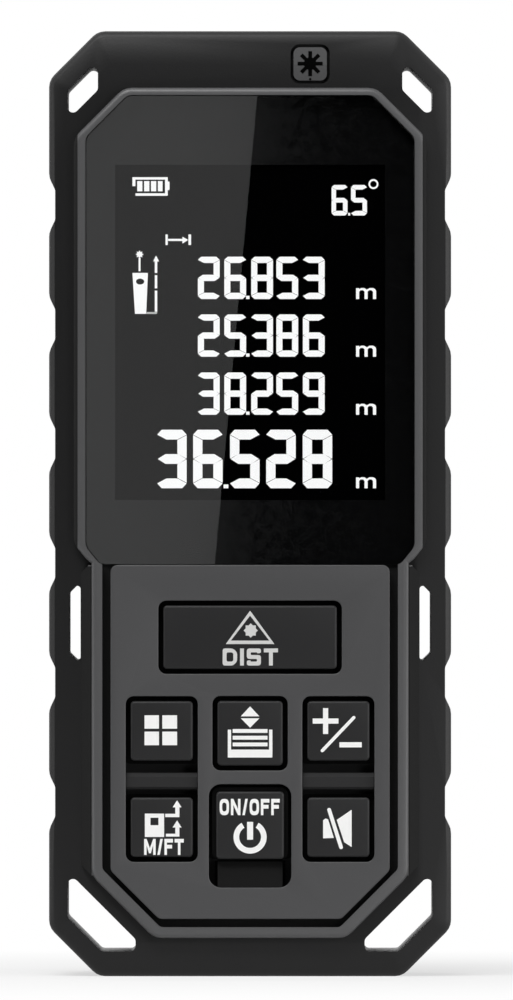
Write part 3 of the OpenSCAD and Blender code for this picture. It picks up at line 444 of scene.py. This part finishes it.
def metal(name, look):
    look = {**metalUsual, **look}
    finish = Finish(bpy.data.materials.new(name))
    marks = finish.noise(look["marks"], look["markDetail"], look["stretch"])
    clouds = finish.noise(look["clouds"], look["cloudDetail"])
    shade = (clouds * look["cloudShare"] + marks * (1 - look["cloudShare"])).clipped()
    return finish.close(finish.principled({
        "Base Color": finish.mottled(shade, look["colour"], look["spread"], look["spread"]),
        "Metallic": 1.0,
        "Roughness": look["rough"] + (marks - 0.5) * look["roughSpread"],
        "Normal": finish.bump(marks, look["height"], look["relief"])}))


# clear glass: only its surface shows, stronger at a low angle, with a few faint smears
glassUsual = {"smearDetail": 3, "facing": 0.5, "falloff": 5, "clean": 0.97, "smeared": 0.06}


def clearGlass(name, look):
    look = {**glassUsual, **look}
    finish = Finish(bpy.data.materials.new(name))
    smears = finish.noise(look["smears"], look["smearDetail"])
    slope = finish.node("ShaderNodeLayerWeight", None, {"Blend": look["facing"]}, "Facing")
    shine = look["least"] + (1 - look["least"]) * slope ** look["falloff"]
    gloss = finish.node("ShaderNodeBsdfGlossy", None, {
        "Color": shaded(look["shine"]), "Roughness": look["rough"] + smears * look["rough"]})
    through = finish.node("ShaderNodeBsdfTransparent", None, {"Color": shaded(look["tint"])})
    return finish.close(finish.mixed(shine * (look["clean"] + smears * look["smeared"]), through, gloss))


# printed ink, or a lit segment where it glows
inkUsual = {"grainDetail": 2, "specular": 0.5, "roughSpread": 0.1, "litSpread": 0.03, "glow": 0}


def ink(name, look):
    look = {**inkUsual, **look}
    finish = Finish(bpy.data.materials.new(name))
    grain = finish.noise(look["grain"], look["grainDetail"])
    shade = grain.clipped()
    sockets = {"Base Color": finish.mottled(shade, look["colour"], look["spread"]),
               "Roughness": look["rough"] + (grain - 0.5) * look["roughSpread"],
               "Specular IOR Level": look["specular"]}
    if look["glow"]:
        sockets["Emission Color"] = finish.mottled(shade, look["lit"], look["litSpread"])
        sockets["Emission Strength"] = look["glow"]
    return finish.close(finish.principled(sockets))


# where painted shade goes on a piece: levels in millimetres
zones = {"waist": 51.2, "shoulder": 19.78, "rim": 21.52, "recessFront": -12.3, "recessBack": -4,
         "deckMouth": -12.9, "capFlange": -12.85, "rampHalf": 4.4, "rampTop": 14.4}


def paintedShadeParts(finish):  # painted shade on the shoulders outside the rim, and on all that lies deeper than the window and deck
    beside = abs(finish.axis("X"))
    upper = finish.axis("Z").above(zones["waist"] * mm)
    shoulder = (beside.above(zones["shoulder"] * mm) * (1 - upper)).most(beside.above(zones["rim"] * mm))
    behind = finish.axis("Y").above(zones["recessFront"] * mm)
    return shoulder.most(behind * (1 - finish.axis("Y").above(zones["recessBack"] * mm)))


def paintedShadeInKeyHoles(finish):  # painted shade on the walls of the key holes
    return finish.axis("Y").above(zones["deckMouth"] * mm)


def paintedShadeRoundCaps(finish):  # painted shade on what lies in the gap round a key cap
    return finish.axis("Y").above(zones["capFlange"] * mm)


def paintedShadeOnThumbRamp(finish):  # painted shade on the ramp below the power key
    beside = abs(finish.axis("X")).above(zones["rampHalf"] * mm)
    return (1 - beside) * (1 - finish.axis("Z").above(zones["rampTop"] * mm))


# the darker colour here shows only on the front shell: painted shade on its shoulders and recesses
shellLook = {"colour": (0.074, 0.074, 0.076), "paintedShade": (0.008, 0.008, 0.008), "dullSpecular": 0.2,
             "spread": 0.05, "rough": 0.43, "grain": 3600, "clouds": 60, "height": 0.012}
shellPlastic = moulded("shell_plastic", shellLook)
frontPlastic = moulded("front_shell_plastic", shellLook, paintedShadeParts)

bumperRubber = moulded("bumper_rubber", {
    "colour": (0.0045, 0.0045, 0.0047), "spread": 0.08, "rough": 0.5, "grain": 4200, "clouds": 70,
    "height": 0.016, "specular": 0.32})
# the darker colour is painted shade on the walls of the key holes
deckPlastic = moulded("deck_plastic", {
    "colour": (0.062, 0.062, 0.064), "paintedShade": (0.002, 0.002, 0.002), "spread": 0.05, "rough": 0.45,
    "grain": 3600, "clouds": 60, "height": 0.012, "specular": 0.4}, paintedShadeInKeyHoles)
# the darker colour is painted shade in the gap round each key cap
keyPlastic = moulded("key_plastic", {
    "colour": (0.0125, 0.0125, 0.013), "paintedShade": (0.002, 0.002, 0.002), "spread": 0.06, "rough": 0.5,
    "grain": 3000, "clouds": 90, "height": 0.008, "specular": 0.3}, paintedShadeRoundCaps)
# the darker colour is painted shade on the thumb ramp below the power key
matRubber = moulded("mat_rubber", {
    "colour": (0.019, 0.019, 0.0195), "paintedShade": (0.007, 0.007, 0.007), "spread": 0.07, "rough": 0.62,
    "grain": 4200, "clouds": 90, "height": 0.014, "specular": 0.2}, paintedShadeOnThumbRamp)
sealRubber = moulded("seal_rubber", {
    "colour": (0.006, 0.006, 0.006), "spread": 0.1, "rough": 0.65, "grain": 3000, "clouds": 120,
    "height": 0.015})
plateGloss = moulded("plate_gloss", {
    "colour": (0.005, 0.005, 0.0055), "spread": 0.06, "rough": 0.16, "grain": 1500, "clouds": 80,
    "height": 0.002, "roughSpread": 0.05})
padPlastic = moulded("pad_plastic", {
    "colour": (0.063, 0.063, 0.0645), "spread": 0.05, "rough": 0.5, "grain": 3600, "clouds": 100,
    "height": 0.008, "specular": 0.36})
whitePlastic = moulded("white_plastic", {
    "colour": (0.72, 0.72, 0.70), "spread": 0.03, "rough": 0.42, "grain": 2600, "clouds": 90,
    "height": 0.006})
chipBlack = moulded("chip_black", {
    "colour": (0.012, 0.012, 0.012), "spread": 0.1, "rough": 0.5, "grain": 4000, "clouds": 200,
    "height": 0.01})
boardMask = moulded("board_mask", {
    "colour": (0.012, 0.10, 0.035), "spread": 0.16, "rough": 0.34, "grain": 1800, "clouds": 260,
    "height": 0.01})
flexFilm = moulded("flex_film", {
    "colour": (0.42, 0.19, 0.035), "spread": 0.08, "rough": 0.32, "grain": 1400, "clouds": 150,
    "height": 0.004})
foamGrey = moulded("foam_grey", {
    "colour": (0.07, 0.07, 0.072), "spread": 0.22, "rough": 0.95, "grain": 2200, "clouds": 500,
    "height": 0.12, "specular": 0.2})
cellSleeve = moulded("cell_sleeve", {
    "colour": (0.11, 0.115, 0.125), "spread": 0.05, "rough": 0.3, "grain": 900, "clouds": 60,
    "height": 0.004})
contactSteel = metal("contact_steel", {
    "colour": (0.62, 0.61, 0.59), "spread": 0.06, "rough": 0.28, "marks": 2400, "stretch": (1, 1, 0.15),
    "height": 0.004})
screwSteel = metal("screw_steel", {
    "colour": (0.40, 0.40, 0.41), "spread": 0.08, "rough": 0.34, "marks": 3200, "height": 0.006})
castAluminium = metal("cast_aluminium", {
    "colour": (0.46, 0.46, 0.47), "spread": 0.07, "rough": 0.46, "marks": 2600, "height": 0.02})
turnedBrass = metal("turned_brass", {
    "colour": (0.66, 0.44, 0.17), "spread": 0.07, "rough": 0.28, "marks": 2600, "stretch": (1, 0.12, 1),
    "height": 0.002})
windowGlass = clearGlass("window_glass", {
    "smears": 35, "least": 0.04, "rough": 0.002, "shine": (1, 1, 1), "tint": (0.985, 0.99, 0.99)})
lensGlass = clearGlass("lens_glass", {
    "smears": 60, "least": 0.056, "rough": 0.01, "shine": (0.78, 0.82, 1.0), "tint": (0.90, 0.95, 0.97)})
borderInk = ink("border_ink", {
    "colour": (0.0036, 0.0036, 0.0038), "spread": 0.1, "rough": 0.05, "grain": 900})
panelBlack = ink("panel_black", {
    "colour": (0.0006, 0.0006, 0.0007), "spread": 0.1, "rough": 0.6, "grain": 900, "specular": 0.0})
legendInk = ink("legend_ink", {"colour": (0.93, 0.93, 0.92), "spread": 0.03, "rough": 0.5, "grain": 3000})
mutedInk = ink("muted_ink", {"colour": (0.64, 0.64, 0.63), "spread": 0.03, "rough": 0.5, "grain": 3000})
litSegment = ink("lit_segment", {
    "colour": (0.02, 0.02, 0.02), "lit": (1.0, 1.0, 1.0), "glow": 1.05, "spread": 0.05, "rough": 0.6,
    "grain": 900, "specular": 0.0})
markInk = ink("mark_ink", {
    "colour": (0.001, 0.001, 0.001), "spread": 0.1, "rough": 0.8, "grain": 2500, "specular": 0.02})

finishes = [
    (shellPlastic, "rear_shell", "battery_door"),
    (frontPlastic, "front_shell"),
    (bumperRubber, "front_bumper", "rear_bumper"),
    (sealRubber, "shell_gasket", "window_gasket"),
    (deckPlastic, "key_deck"),
    (matRubber, "keypad_mat"),
    (keyPlastic, "key_measure", "key_mode", "key_memory", "key_plus_minus", "key_unit", "key_power",
     "key_mute"),
    (windowGlass, "display_window"),
    (panelBlack, "lcd_panel"),
    (whitePlastic, "lcd_frame", "backlight_plate"),
    (flexFilm, "display_flex"),
    (contactSteel, "dome_switches", "contact_springs", "contact_plates"),
    (boardMask, "main_pcb", "receiver_board"),
    (chipBlack, "ic_packages", "buzzer", "lens_retainer"),
    (castAluminium, "optics_chassis"),
    (lensGlass, "receiver_lens", "collimator_lens", "exit_windows"),
    (turnedBrass, "receiver_sensor", "laser_barrel", "laser_diode", "tripod_bush"),
    (plateGloss, "top_plate"),
    (padPlastic, "beam_mark_pad"),
    (foamGrey, "door_foam"),
    (cellSleeve, "cell_left", "cell_right"),
    (screwSteel, "housing_screws", "board_screws", "optics_screws"),
]
for finish, *names in finishes:
    for name in names:
        nodes[name].data.materials.clear()
        nodes[name].data.materials.append(finish)
print("finishes set on", sum(len(row) - 1 for row in finishes), "nodes")


# housing, mat and key caps: merged copies of the solids with smooth shading
def moulding(node, name, body, slot, finish, degrees):
    piece = cadCopy(node, name)
    smooth(piece, degrees)
    carried(piece, body, slot, finish, node)


smoothing = {"housing": 35, "mat": 40, "cap": 40}  # degrees
for node, name, body, slot, finish in (
        ("front_shell", "front_housing", "root", "shell_grey", frontPlastic),
        ("rear_shell", "rear_housing", "root", "shell_grey", shellPlastic),
        ("front_bumper", "front_overmould", "root", "bumper_rubber", bumperRubber),
        ("rear_bumper", "rear_overmould", "root", "bumper_rubber", bumperRubber),
        ("top_plate", "optics_cover", "root", "plate_gloss", plateGloss),
        ("battery_door", "battery_cover", "door", "shell_grey", shellPlastic)):
    moulding(node, name, body, slot, finish, smoothing["housing"])
print("housing pieces ready")

# key deck: the mouths of the pockets are rounded over
deckPiece = {"round": 0.35, "segments": 4, "sharp": 50, "depth": 0.01, "smooth": 40}
keyDeck = cadCopy("key_deck", "key_deck_moulding")
rounded = roundMouths(keyDeck, deckPiece)
smooth(keyDeck, deckPiece["smooth"])
carried(keyDeck, "root", "deck_grey", deckPlastic, "key_deck")
print("key deck:", rounded, "edges rounded")

# keypad mat with its cups, bridges and thumb ramp, and the key caps
moulding("keypad_mat", "keypad_web", "root", "mat_rubber", matRubber, smoothing["mat"])
for key in ("measure", "mode", "memory", "plus_minus", "unit", "power", "mute"):
    moulding("key_" + key, "cap_" + key, key, "key_black", keyPlastic, smoothing["cap"])
print("key caps ready")


# display window: the glass, and the black ink behind its edge, which leaves the display's opening free
windowPiece = {"ink": 0.04, "air": 0.01, "onBack": 0.001, "half": 16.85, "low": 59.45, "high": 101.3,
               "cutDepth": 2, "smooth": 30}
openingTall = windowPiece["high"] - windowPiece["low"]
glass = cadCopy("display_window", "window_pane")
smooth(glass, windowPiece["smooth"])
paneBack = max(corner.co.y for corner in glass.data.vertices)
border = cadCopy("display_window", "window_border")
pick(border)
bpy.ops.object.mode_set(mode="EDIT")
bpy.ops.mesh.select_all(action="SELECT")
bpy.ops.mesh.bisect(plane_co=(0, paneBack - windowPiece["ink"] * mm, 0), plane_no=(0, 1, 0),
                    use_fill=True, clear_inner=True, threshold=1e-7)
bpy.ops.object.mode_set(mode="OBJECT")
deselectAll()
bpy.ops.mesh.primitive_cube_add(
    size=1, location=(0, paneBack, (windowPiece["low"] + openingTall / 2) * mm),
    scale=(2 * windowPiece["half"] * mm, windowPiece["cutDepth"] * mm, openingTall * mm))
opening = bpy.context.object
settle(opening)
cut(border, opening, "DIFFERENCE")
for corner in glass.data.vertices:  # the pane ends just in front of the ink
    if corner.co.y > paneBack - windowPiece["onBack"] * mm:
        corner.co.y = paneBack - (windowPiece["ink"] + windowPiece["air"]) * mm
carried(glass, "root", "window_glass", windowGlass, "display_window")
carried(border, "root", "display_black", borderInk)
print("window: border has", len(border.data.polygons), "faces")


# display: segments lit white on a black panel
digitSlant = 1.4  # how far the ends of the uprights slant, in gaps
digitParts = {
    "0": ("top", "foot", "upLeft", "upRight", "lowLeft", "lowRight"),
    "1": ("upRight", "lowRight"),
    "2": ("top", "upRight", "middle", "lowLeft", "foot"),
    "3": ("top", "upRight", "middle", "lowRight", "foot"),
    "4": ("upLeft", "upRight", "middle", "lowRight"),
    "5": ("top", "upLeft", "middle", "lowRight", "foot"),
    "6": ("top", "upLeft", "middle", "lowLeft", "lowRight", "foot"),
    "7": ("top", "upRight", "lowRight"),
    "8": ("top", "foot", "middle", "upLeft", "upRight", "lowLeft", "lowRight"),
    "9": ("top", "foot", "middle", "upLeft", "upRight", "lowRight"),
}


def flipX(loop, width):
    return [(width - px, pz) for px, pz in reversed(loop)]


def flipZ(loop, height):
    return [(px, height - pz) for px, pz in reversed(loop)]


def segmentDigit(x, z, number, look):
    w, h, t, tv = look["width"], look["height"], look["thick"], look["upright"]
    g, run, tip, waist = look["gap"], look["run"], look["tip"], h / 2
    top = [(0, h - t / 2), (tip, h), (w - tip, h), (w, h - t / 2), (w - tv, h - t), (tv, h - t)]
    middle = [(g, waist), (run, waist + t / 2), (w - run, waist + t / 2), (w - g, waist),
              (w - run, waist - t / 2), (run, waist - t / 2)]
    upright = [(0, h - t / 2 - g), (tv, h - t - g), (tv, waist + t / 2 + g), (g, waist + g),
               (0, waist + g * digitSlant)]
    parts = {"top": top, "middle": middle, "foot": flipZ(top, h), "upLeft": upright,
             "upRight": flipX(upright, w), "lowLeft": flipZ(upright, h),
             "lowRight": flipX(flipZ(upright, h), w)}
    return [[(x + px, z + pz) for px, pz in parts[name]] for name in digitParts[number]]


bigDigits = {"width": 3.68, "height": 7.3, "thick": 1.22, "upright": 1.16, "gap": 0.07, "run": 1.03,
             "tip": 0.56, "starts": (-11.6, -7.11, -2.5, 2.01, 6.57), "point": (-3.31, -2.71, 0, 0.47)}
smallDigits = {"width": 2.72, "height": 5.28, "thick": 0.78, "upright": 0.76, "gap": 0.05, "run": 0.62,
               "tip": 0.42, "starts": (-6.52, -3.22, 0.14, 3.28, 6.59), "point": (-0.5, -0.07, 0, 0.4)}
angleDigits = {"width": 1.99, "height": 3.81, "thick": 0.58, "upright": 0.56, "gap": 0.04, "run": 0.42,
               "tip": 0.3, "starts": (10.17, 12.6), "point": (12.24, 12.5, 0, 0.32)}
readings = {  # the number, the height it stands at, and its digits
    "reading_main": ("36.528", 60.93, bigDigits),
    "reading_first": ("26.853", 84.55, smallDigits),
    "reading_second": ("25.386", 77.35, smallDigits),
    "reading_third": ("38.259", 70.1, smallDigits),
    "reading_angle": ("6.5", 94.98, angleDigits),
}
unitSign = {"x": 14.48, "width": 2.5, "height": 1.96, "stroke": 0.18, "rows": (84.55, 77.35, 70.1, 60.93)}
display = {"proud": 0.02}
panelLevel = frontOf(nodes["lcd_panel"]) - display["proud"]


def lit(name, groups):
    carried(flatMark(name, groups, panelLevel), "root", "white_plastic", litSegment)


for name, (number, z, look) in readings.items():
    loops = [[(px, z + pz) for px, pz in box(*look["point"])]]
    for digit, x in zip(number.replace(".", ""), look["starts"]):
        loops += segmentDigit(x, z, digit, look)
    lit(name, [loops])
for count, z in enumerate(unitSign["rows"]):
    unit = word("unit_metre_%d" % count, "m", panelLevel, {**unitSign, "z": z})
    carried(unit, "root", "white_plastic", litSegment)

# battery, degree sign and the two small pictures on the display
batteryBars = [box(x0, x1, 98.0, 99.27) for x0, x1 in ((-14.09, -13.45), (-13.23, -12.58),
                                                       (-12.37, -11.72), (-11.51, -10.93))]
batteryFrame = [(-14.69, 99.76), (-14.69, 98.64), (-14.32, 98.64), (-14.32, 99.46), (-10.62, 99.46),
                (-10.62, 97.75), (-14.3, 97.75), (-14.3, 97.44), (-10.28, 97.44), (-10.28, 98.15),
                (-10.06, 98.15), (-10.06, 99.22), (-10.28, 99.22), (-10.28, 99.76)]
lit("battery_sign", [batteryBars, [batteryFrame]])
lit("degree_sign", [[disc(15.4, 98.9, 0.62), disc(15.4, 98.9, 0.4)]])
lit("span_sign", [
    [box(-10.56, -10.28, 91.3, 92.61)], [box(-7.70, -7.37, 91.3, 92.61)],
    [box(-10.24, -8.45, 91.8, 92.06)], [[(-8.45, 91.47), (-7.72, 91.93), (-8.45, 92.33)]],
])
lit("device_sign", [
    [[(-14.69, 87.81), (-14.37, 82.7), (-12.97, 82.7), (-12.76, 87.81)],
     disc(-13.73, 86.73, 0.52, 20, 0.72)],
    [box(-13.92, -13.68, 88.03, 89.7)], [star(-13.8, 90.12, 0.52, 0.3)],
    [box(-11.9, -11.59, 87.81, 89.24)], [box(-11.9, -11.59, 85.88, 87.53)],
    [box(-11.9, -11.59, 82.97, 85.6)], [[(-12.11, 89.24), (-11.35, 89.24), (-11.74, 89.97)]],
])
link = flatMark("device_link", [[box(-12.92, -11.62, 82.69, 82.93)]], panelLevel)
carried(link, "root", "white_plastic", mutedInk)
print("display content ready, level", round(panelLevel, 3))


# printed legends, each carried by its own key
keyLevel = frontOf(nodes["key_measure"])


def printed(name, key, groups, finish=legendInk):
    carried(flatMark(name, groups, keyLevel), key, "white_plastic", finish)


def lettered(name, key, letters, look, finish=legendInk):
    carried(word(name, letters, keyLevel, look), key, "white_plastic", finish)


printed("legend_measure", "measure", [
    [[(0, 45.65), (-3.03, 41.49), (3.03, 41.49)], [(0, 45.03), (-2.4, 41.92), (2.4, 41.92)]],
    [star(0.08, 43.18, 0.9, 0.68)],
], mutedInk)
lettered("legend_distance", "measure", "DIST",
         {"x": 0.03, "z": 38.81, "width": 6.9, "height": 2.13, "stroke": 0.23}, mutedInk)
printed("legend_mode", "mode", [[box(x0, x1, z0, z1)] for x0, x1 in ((-13.17, -11.37), (-10.95, -9.11))
                                for z0, z1 in ((30.93, 32.6), (28.87, 30.56))])
trayLoop = [(-2.78, 27.33), (2.78, 27.33), (2.78, 30.81), (2.37, 30.81), (2.37, 28.32), (-2.37, 28.32),
            (-2.37, 30.81), (-2.78, 30.81)]
printed("legend_memory", "memory", [
    [[(-1.16, 32.47), (1.16, 32.47), (0, 33.71)]], [[(-1.16, 32.23), (0, 31.05), (1.16, 32.23)]],
    [trayLoop], [box(-2.17, 2.17, 30.41, 30.88)], [box(-2.17, 2.17, 29.56, 30.04)],
    [box(-2.17, 2.17, 28.73, 29.2)],
])
printed("legend_plus_minus", "plus_minus", [
    [cross(9.42, 31.88, 1.61, 0.32)], [bar((12.94, 32.32), (9.01, 28.19), 0.41)],
    [box(11.15, 13.93, 28.6, 29.24)],
])
printed("legend_reference", "unit", [
    [box(-13.13, -10.73, 17.42, 20.33), box(-12.43, -11.43, 18.89, 19.82)],
    [[(-10.58, 19.9), (-8.82, 19.9), (-8.82, 21.11), (-8.55, 21.11), (-9.11, 21.99), (-9.67, 21.11),
      (-9.33, 21.11), (-9.33, 20.31), (-10.58, 20.31)]],
    [[(-10.5, 17.47), (-8.82, 17.47), (-8.82, 18.6), (-8.55, 18.6), (-9.11, 19.48), (-9.67, 18.6),
      (-9.33, 18.6), (-9.33, 17.82), (-10.5, 17.82)]],
])
lettered("legend_units", "unit", "M/FT",
         {"x": -10.75, "z": 15.18, "width": 4.95, "height": 2.0, "stroke": 0.23, "space": 0.15})
lettered("legend_power", "power", "ON/OFF",
         {"x": -0.05, "z": 20.14, "width": 7.5, "height": 2.03, "stroke": 0.23})
printed("legend_standby", "power", [
    [arcBand(0, 17.41, 2.07, 1.36, 121, 419)], [box(-0.375, 0.375, 17.08, 19.3)],
])
printed("legend_mute", "mute", [
    [[(9.11, 17.25), (10.45, 17.3), (9.73, 19.62), (9.4, 19.72), (9.11, 19.5)]],
    [bar((9.86, 20.81), (11.35, 16.13), 0.47)],
    [[(10.81, 19.55), (11.73, 16.77), (12.67, 16.16), (12.67, 20.81)]],
])
print("legends ready, level", round(keyLevel, 3))

# beam mark on its pad: a star with a dot below it, let into the curved face
beamMark = {"x": 7.5, "z": 113.93, "rays": 8, "reach": 1.56, "core": 0.78, "width": 0.46, "proud": 0.03,
            "dotBelow": 1.93, "dot": 0.15, "depth": 0.9}
padCopy = cadCopy("beam_mark_pad", "beam_star")
for corner in padCopy.data.vertices:
    corner.co.y -= beamMark["proud"] * mm
starLoop = rayStar(beamMark["x"], beamMark["z"], beamMark)
dotLoop = disc(beamMark["x"], beamMark["z"] - beamMark["dotBelow"], beamMark["dot"], 12)
padFront = frontOf(nodes["beam_mark_pad"])
cutter = flatMark("star_cutter", [[starLoop], [dotLoop]], padFront, beamMark["depth"])
cut(padCopy, cutter, "INTERSECT")
carried(padCopy, "root", "display_black", markInk)
print("beam mark:", len(padCopy.data.polygons), "faces, pad front", round(padFront, 3))


# camera: far away with a long lens, square to the front; near and far in metres, the rest in millimetres
viewing = {"x": 0.8, "z": 59.46, "height": 125.0, "plane": -8, "lens": 800, "sensor": 36,
           "near": 0.05, "far": 50}
distance = (viewing["height"] * viewing["lens"] / viewing["sensor"] - viewing["plane"]) * mm
cameraData = bpy.data.cameras.new("camera")
cameraData.lens = viewing["lens"]
cameraData.sensor_fit = "VERTICAL"
cameraData.sensor_height = viewing["sensor"]
cameraData.clip_start = viewing["near"]
cameraData.clip_end = viewing["far"]
camera = linked("camera", cameraData)
camera.location = (viewing["x"] * mm, -distance, viewing["z"] * mm)
camera.rotation_euler = (math.pi / 2, 0, 0)
bpy.context.scene.camera = camera

# soft lamps, turned to the middle of the object; places and sizes in metres, power in watts
lampAim = Vector((0, 0, 0.06))
lamps = {
    "lamp_right": {"place": (0.62, -0.24, 0.16), "size": (0.30, 0.5), "power": 2.2},
    "lamp_top": {"place": (-0.14, -0.31, 0.53), "size": (0.4, 0.2), "power": 2.65},
    "lamp_front": {"place": (0.40, -0.69, 0.15), "size": (0.22, 0.4), "power": 0.95},
    "lamp_back": {"place": (-0.25, 0.75, 0.5), "size": (1.2, 0.9), "power": 3.4},
    "lamp_left": {"place": (-0.66, -0.20, 0.15), "size": (0.25, 0.5), "power": 0.85},
}
for name, look in lamps.items():
    lamp = bpy.data.lights.new(name, "AREA")
    lamp.shape = "RECTANGLE"
    lamp.size, lamp.size_y = look["size"]
    lamp.energy = look["power"]
    light = linked(name, lamp)
    light.location = look["place"]
    light.rotation_euler = (lampAim - Vector(look["place"])).to_track_quat("-Z", "Y").to_euler()


def sheet(name, corners, material):
    mesh = bpy.data.meshes.new(name)
    mesh.from_pydata(corners, [], [tuple(range(len(corners)))])
    mesh.materials.append(material)
    linked(name, mesh)


# floor: white to the eye and in reflections, with the object's shadow, which fades away from it
floorPiece = {"radius": 0.16, "sides": 64, "colour": (0.86, 0.86, 0.86), "spread": 0.015, "cloth": 3,
              "clothDetail": 2, "shown": 0.55, "fade": 0.15}


def paleSurface(name, look):
    finish = Finish(bpy.data.materials.new(name))
    cloth = finish.noise(look["cloth"], look["clothDetail"])
    base = finish.mottled(cloth, look["colour"], look["spread"])
    plain = finish.principled({"Base Color": base, "Roughness": 1.0, "Specular IOR Level": 0.0})
    away = finish.node("ShaderNodeVectorMath", {"operation": "LENGTH"}, {0: finish.place()}, "Value")
    near = (1 - away / look["fade"]).most(0)  # 1 under the object, 0 where the shadow has faded
    white = finish.rays("Camera", "Glossy", "Transmission") * (1 - near * (1 - look["shown"]))
    return finish.close(finish.mixed(white, plain, finish.light(1.0)))


floorEdge = disc(0, 0, floorPiece["radius"], floorPiece["sides"])
sheet("floor", [(x, y, 0) for x, y in floorEdge], paleSurface("pale_floor", floorPiece))


def reflected(name, brightness):  # a card that only shiny surfaces see
    finish = Finish(bpy.data.materials.new(name))
    clear = finish.node("ShaderNodeBsdfTransparent", None, {"Color": (1, 1, 1, 1)})
    return finish.close(finish.mixed(finish.rays("Glossy"), clear, finish.light(brightness)))


# bright card: its mirror image covers the left of the glass, up to a slanted edge from the window's
# foot to its head; its corners are given in millimetres on the glass, the distances in metres
brightCard = {"y": -3.0, "glow": 0.42, "left": -60, "foot": -68.5, "edgeFoot": -15.3, "edgeHead": 2.25,
              "head": 124.8}
# dark card: stands behind the bright one and keeps the white world out of the front's reflections
darkCard = {"y": -3.05, "glow": 0.0, "side": 3.4, "foot": -2.0, "head": 3.4}
stretchOut = 1 + abs(brightCard["y"]) / distance


def mirrored(x, z):  # where the mirror image of a place on the glass meets the bright card
    return ((viewing["x"] + (x - viewing["x"]) * stretchOut) * mm, brightCard["y"],
            (viewing["z"] + (z - viewing["z"]) * stretchOut) * mm)


brightCorners = [mirrored(brightCard[x], brightCard[z]) for x, z in (
    ("left", "foot"), ("edgeFoot", "foot"), ("edgeHead", "head"), ("left", "head"))]
sheet("card_left", brightCorners, reflected("bright_card", brightCard["glow"]))
darkCorners = [(x, darkCard["y"], z) for x, z in
               box(-darkCard["side"], darkCard["side"], darkCard["foot"], darkCard["head"])]
sheet("card_dark", darkCorners, reflected("dark_card", darkCard["glow"]))

# world: white to the eye and in reflections, and a faint even light on all else
worldLook = {"fill": 0.056, "white": 1.0}
studio = Finish(bpy.data.worlds.new("studio"))
strength = studio.node("ShaderNodeMapRange", None, {
    "Value": studio.rays("Camera", "Transmission", "Glossy"), "To Min": worldLook["fill"],
    "To Max": worldLook["white"]}, "Result")
background = studio.node("ShaderNodeBackground", None, {"Color": (1, 1, 1, 1), "Strength": strength})
bpy.context.scene.world = studio.close(background, "ShaderNodeOutputWorld")

bpy.context.scene.view_settings.view_transform = "Standard"
print("camera and studio ready")
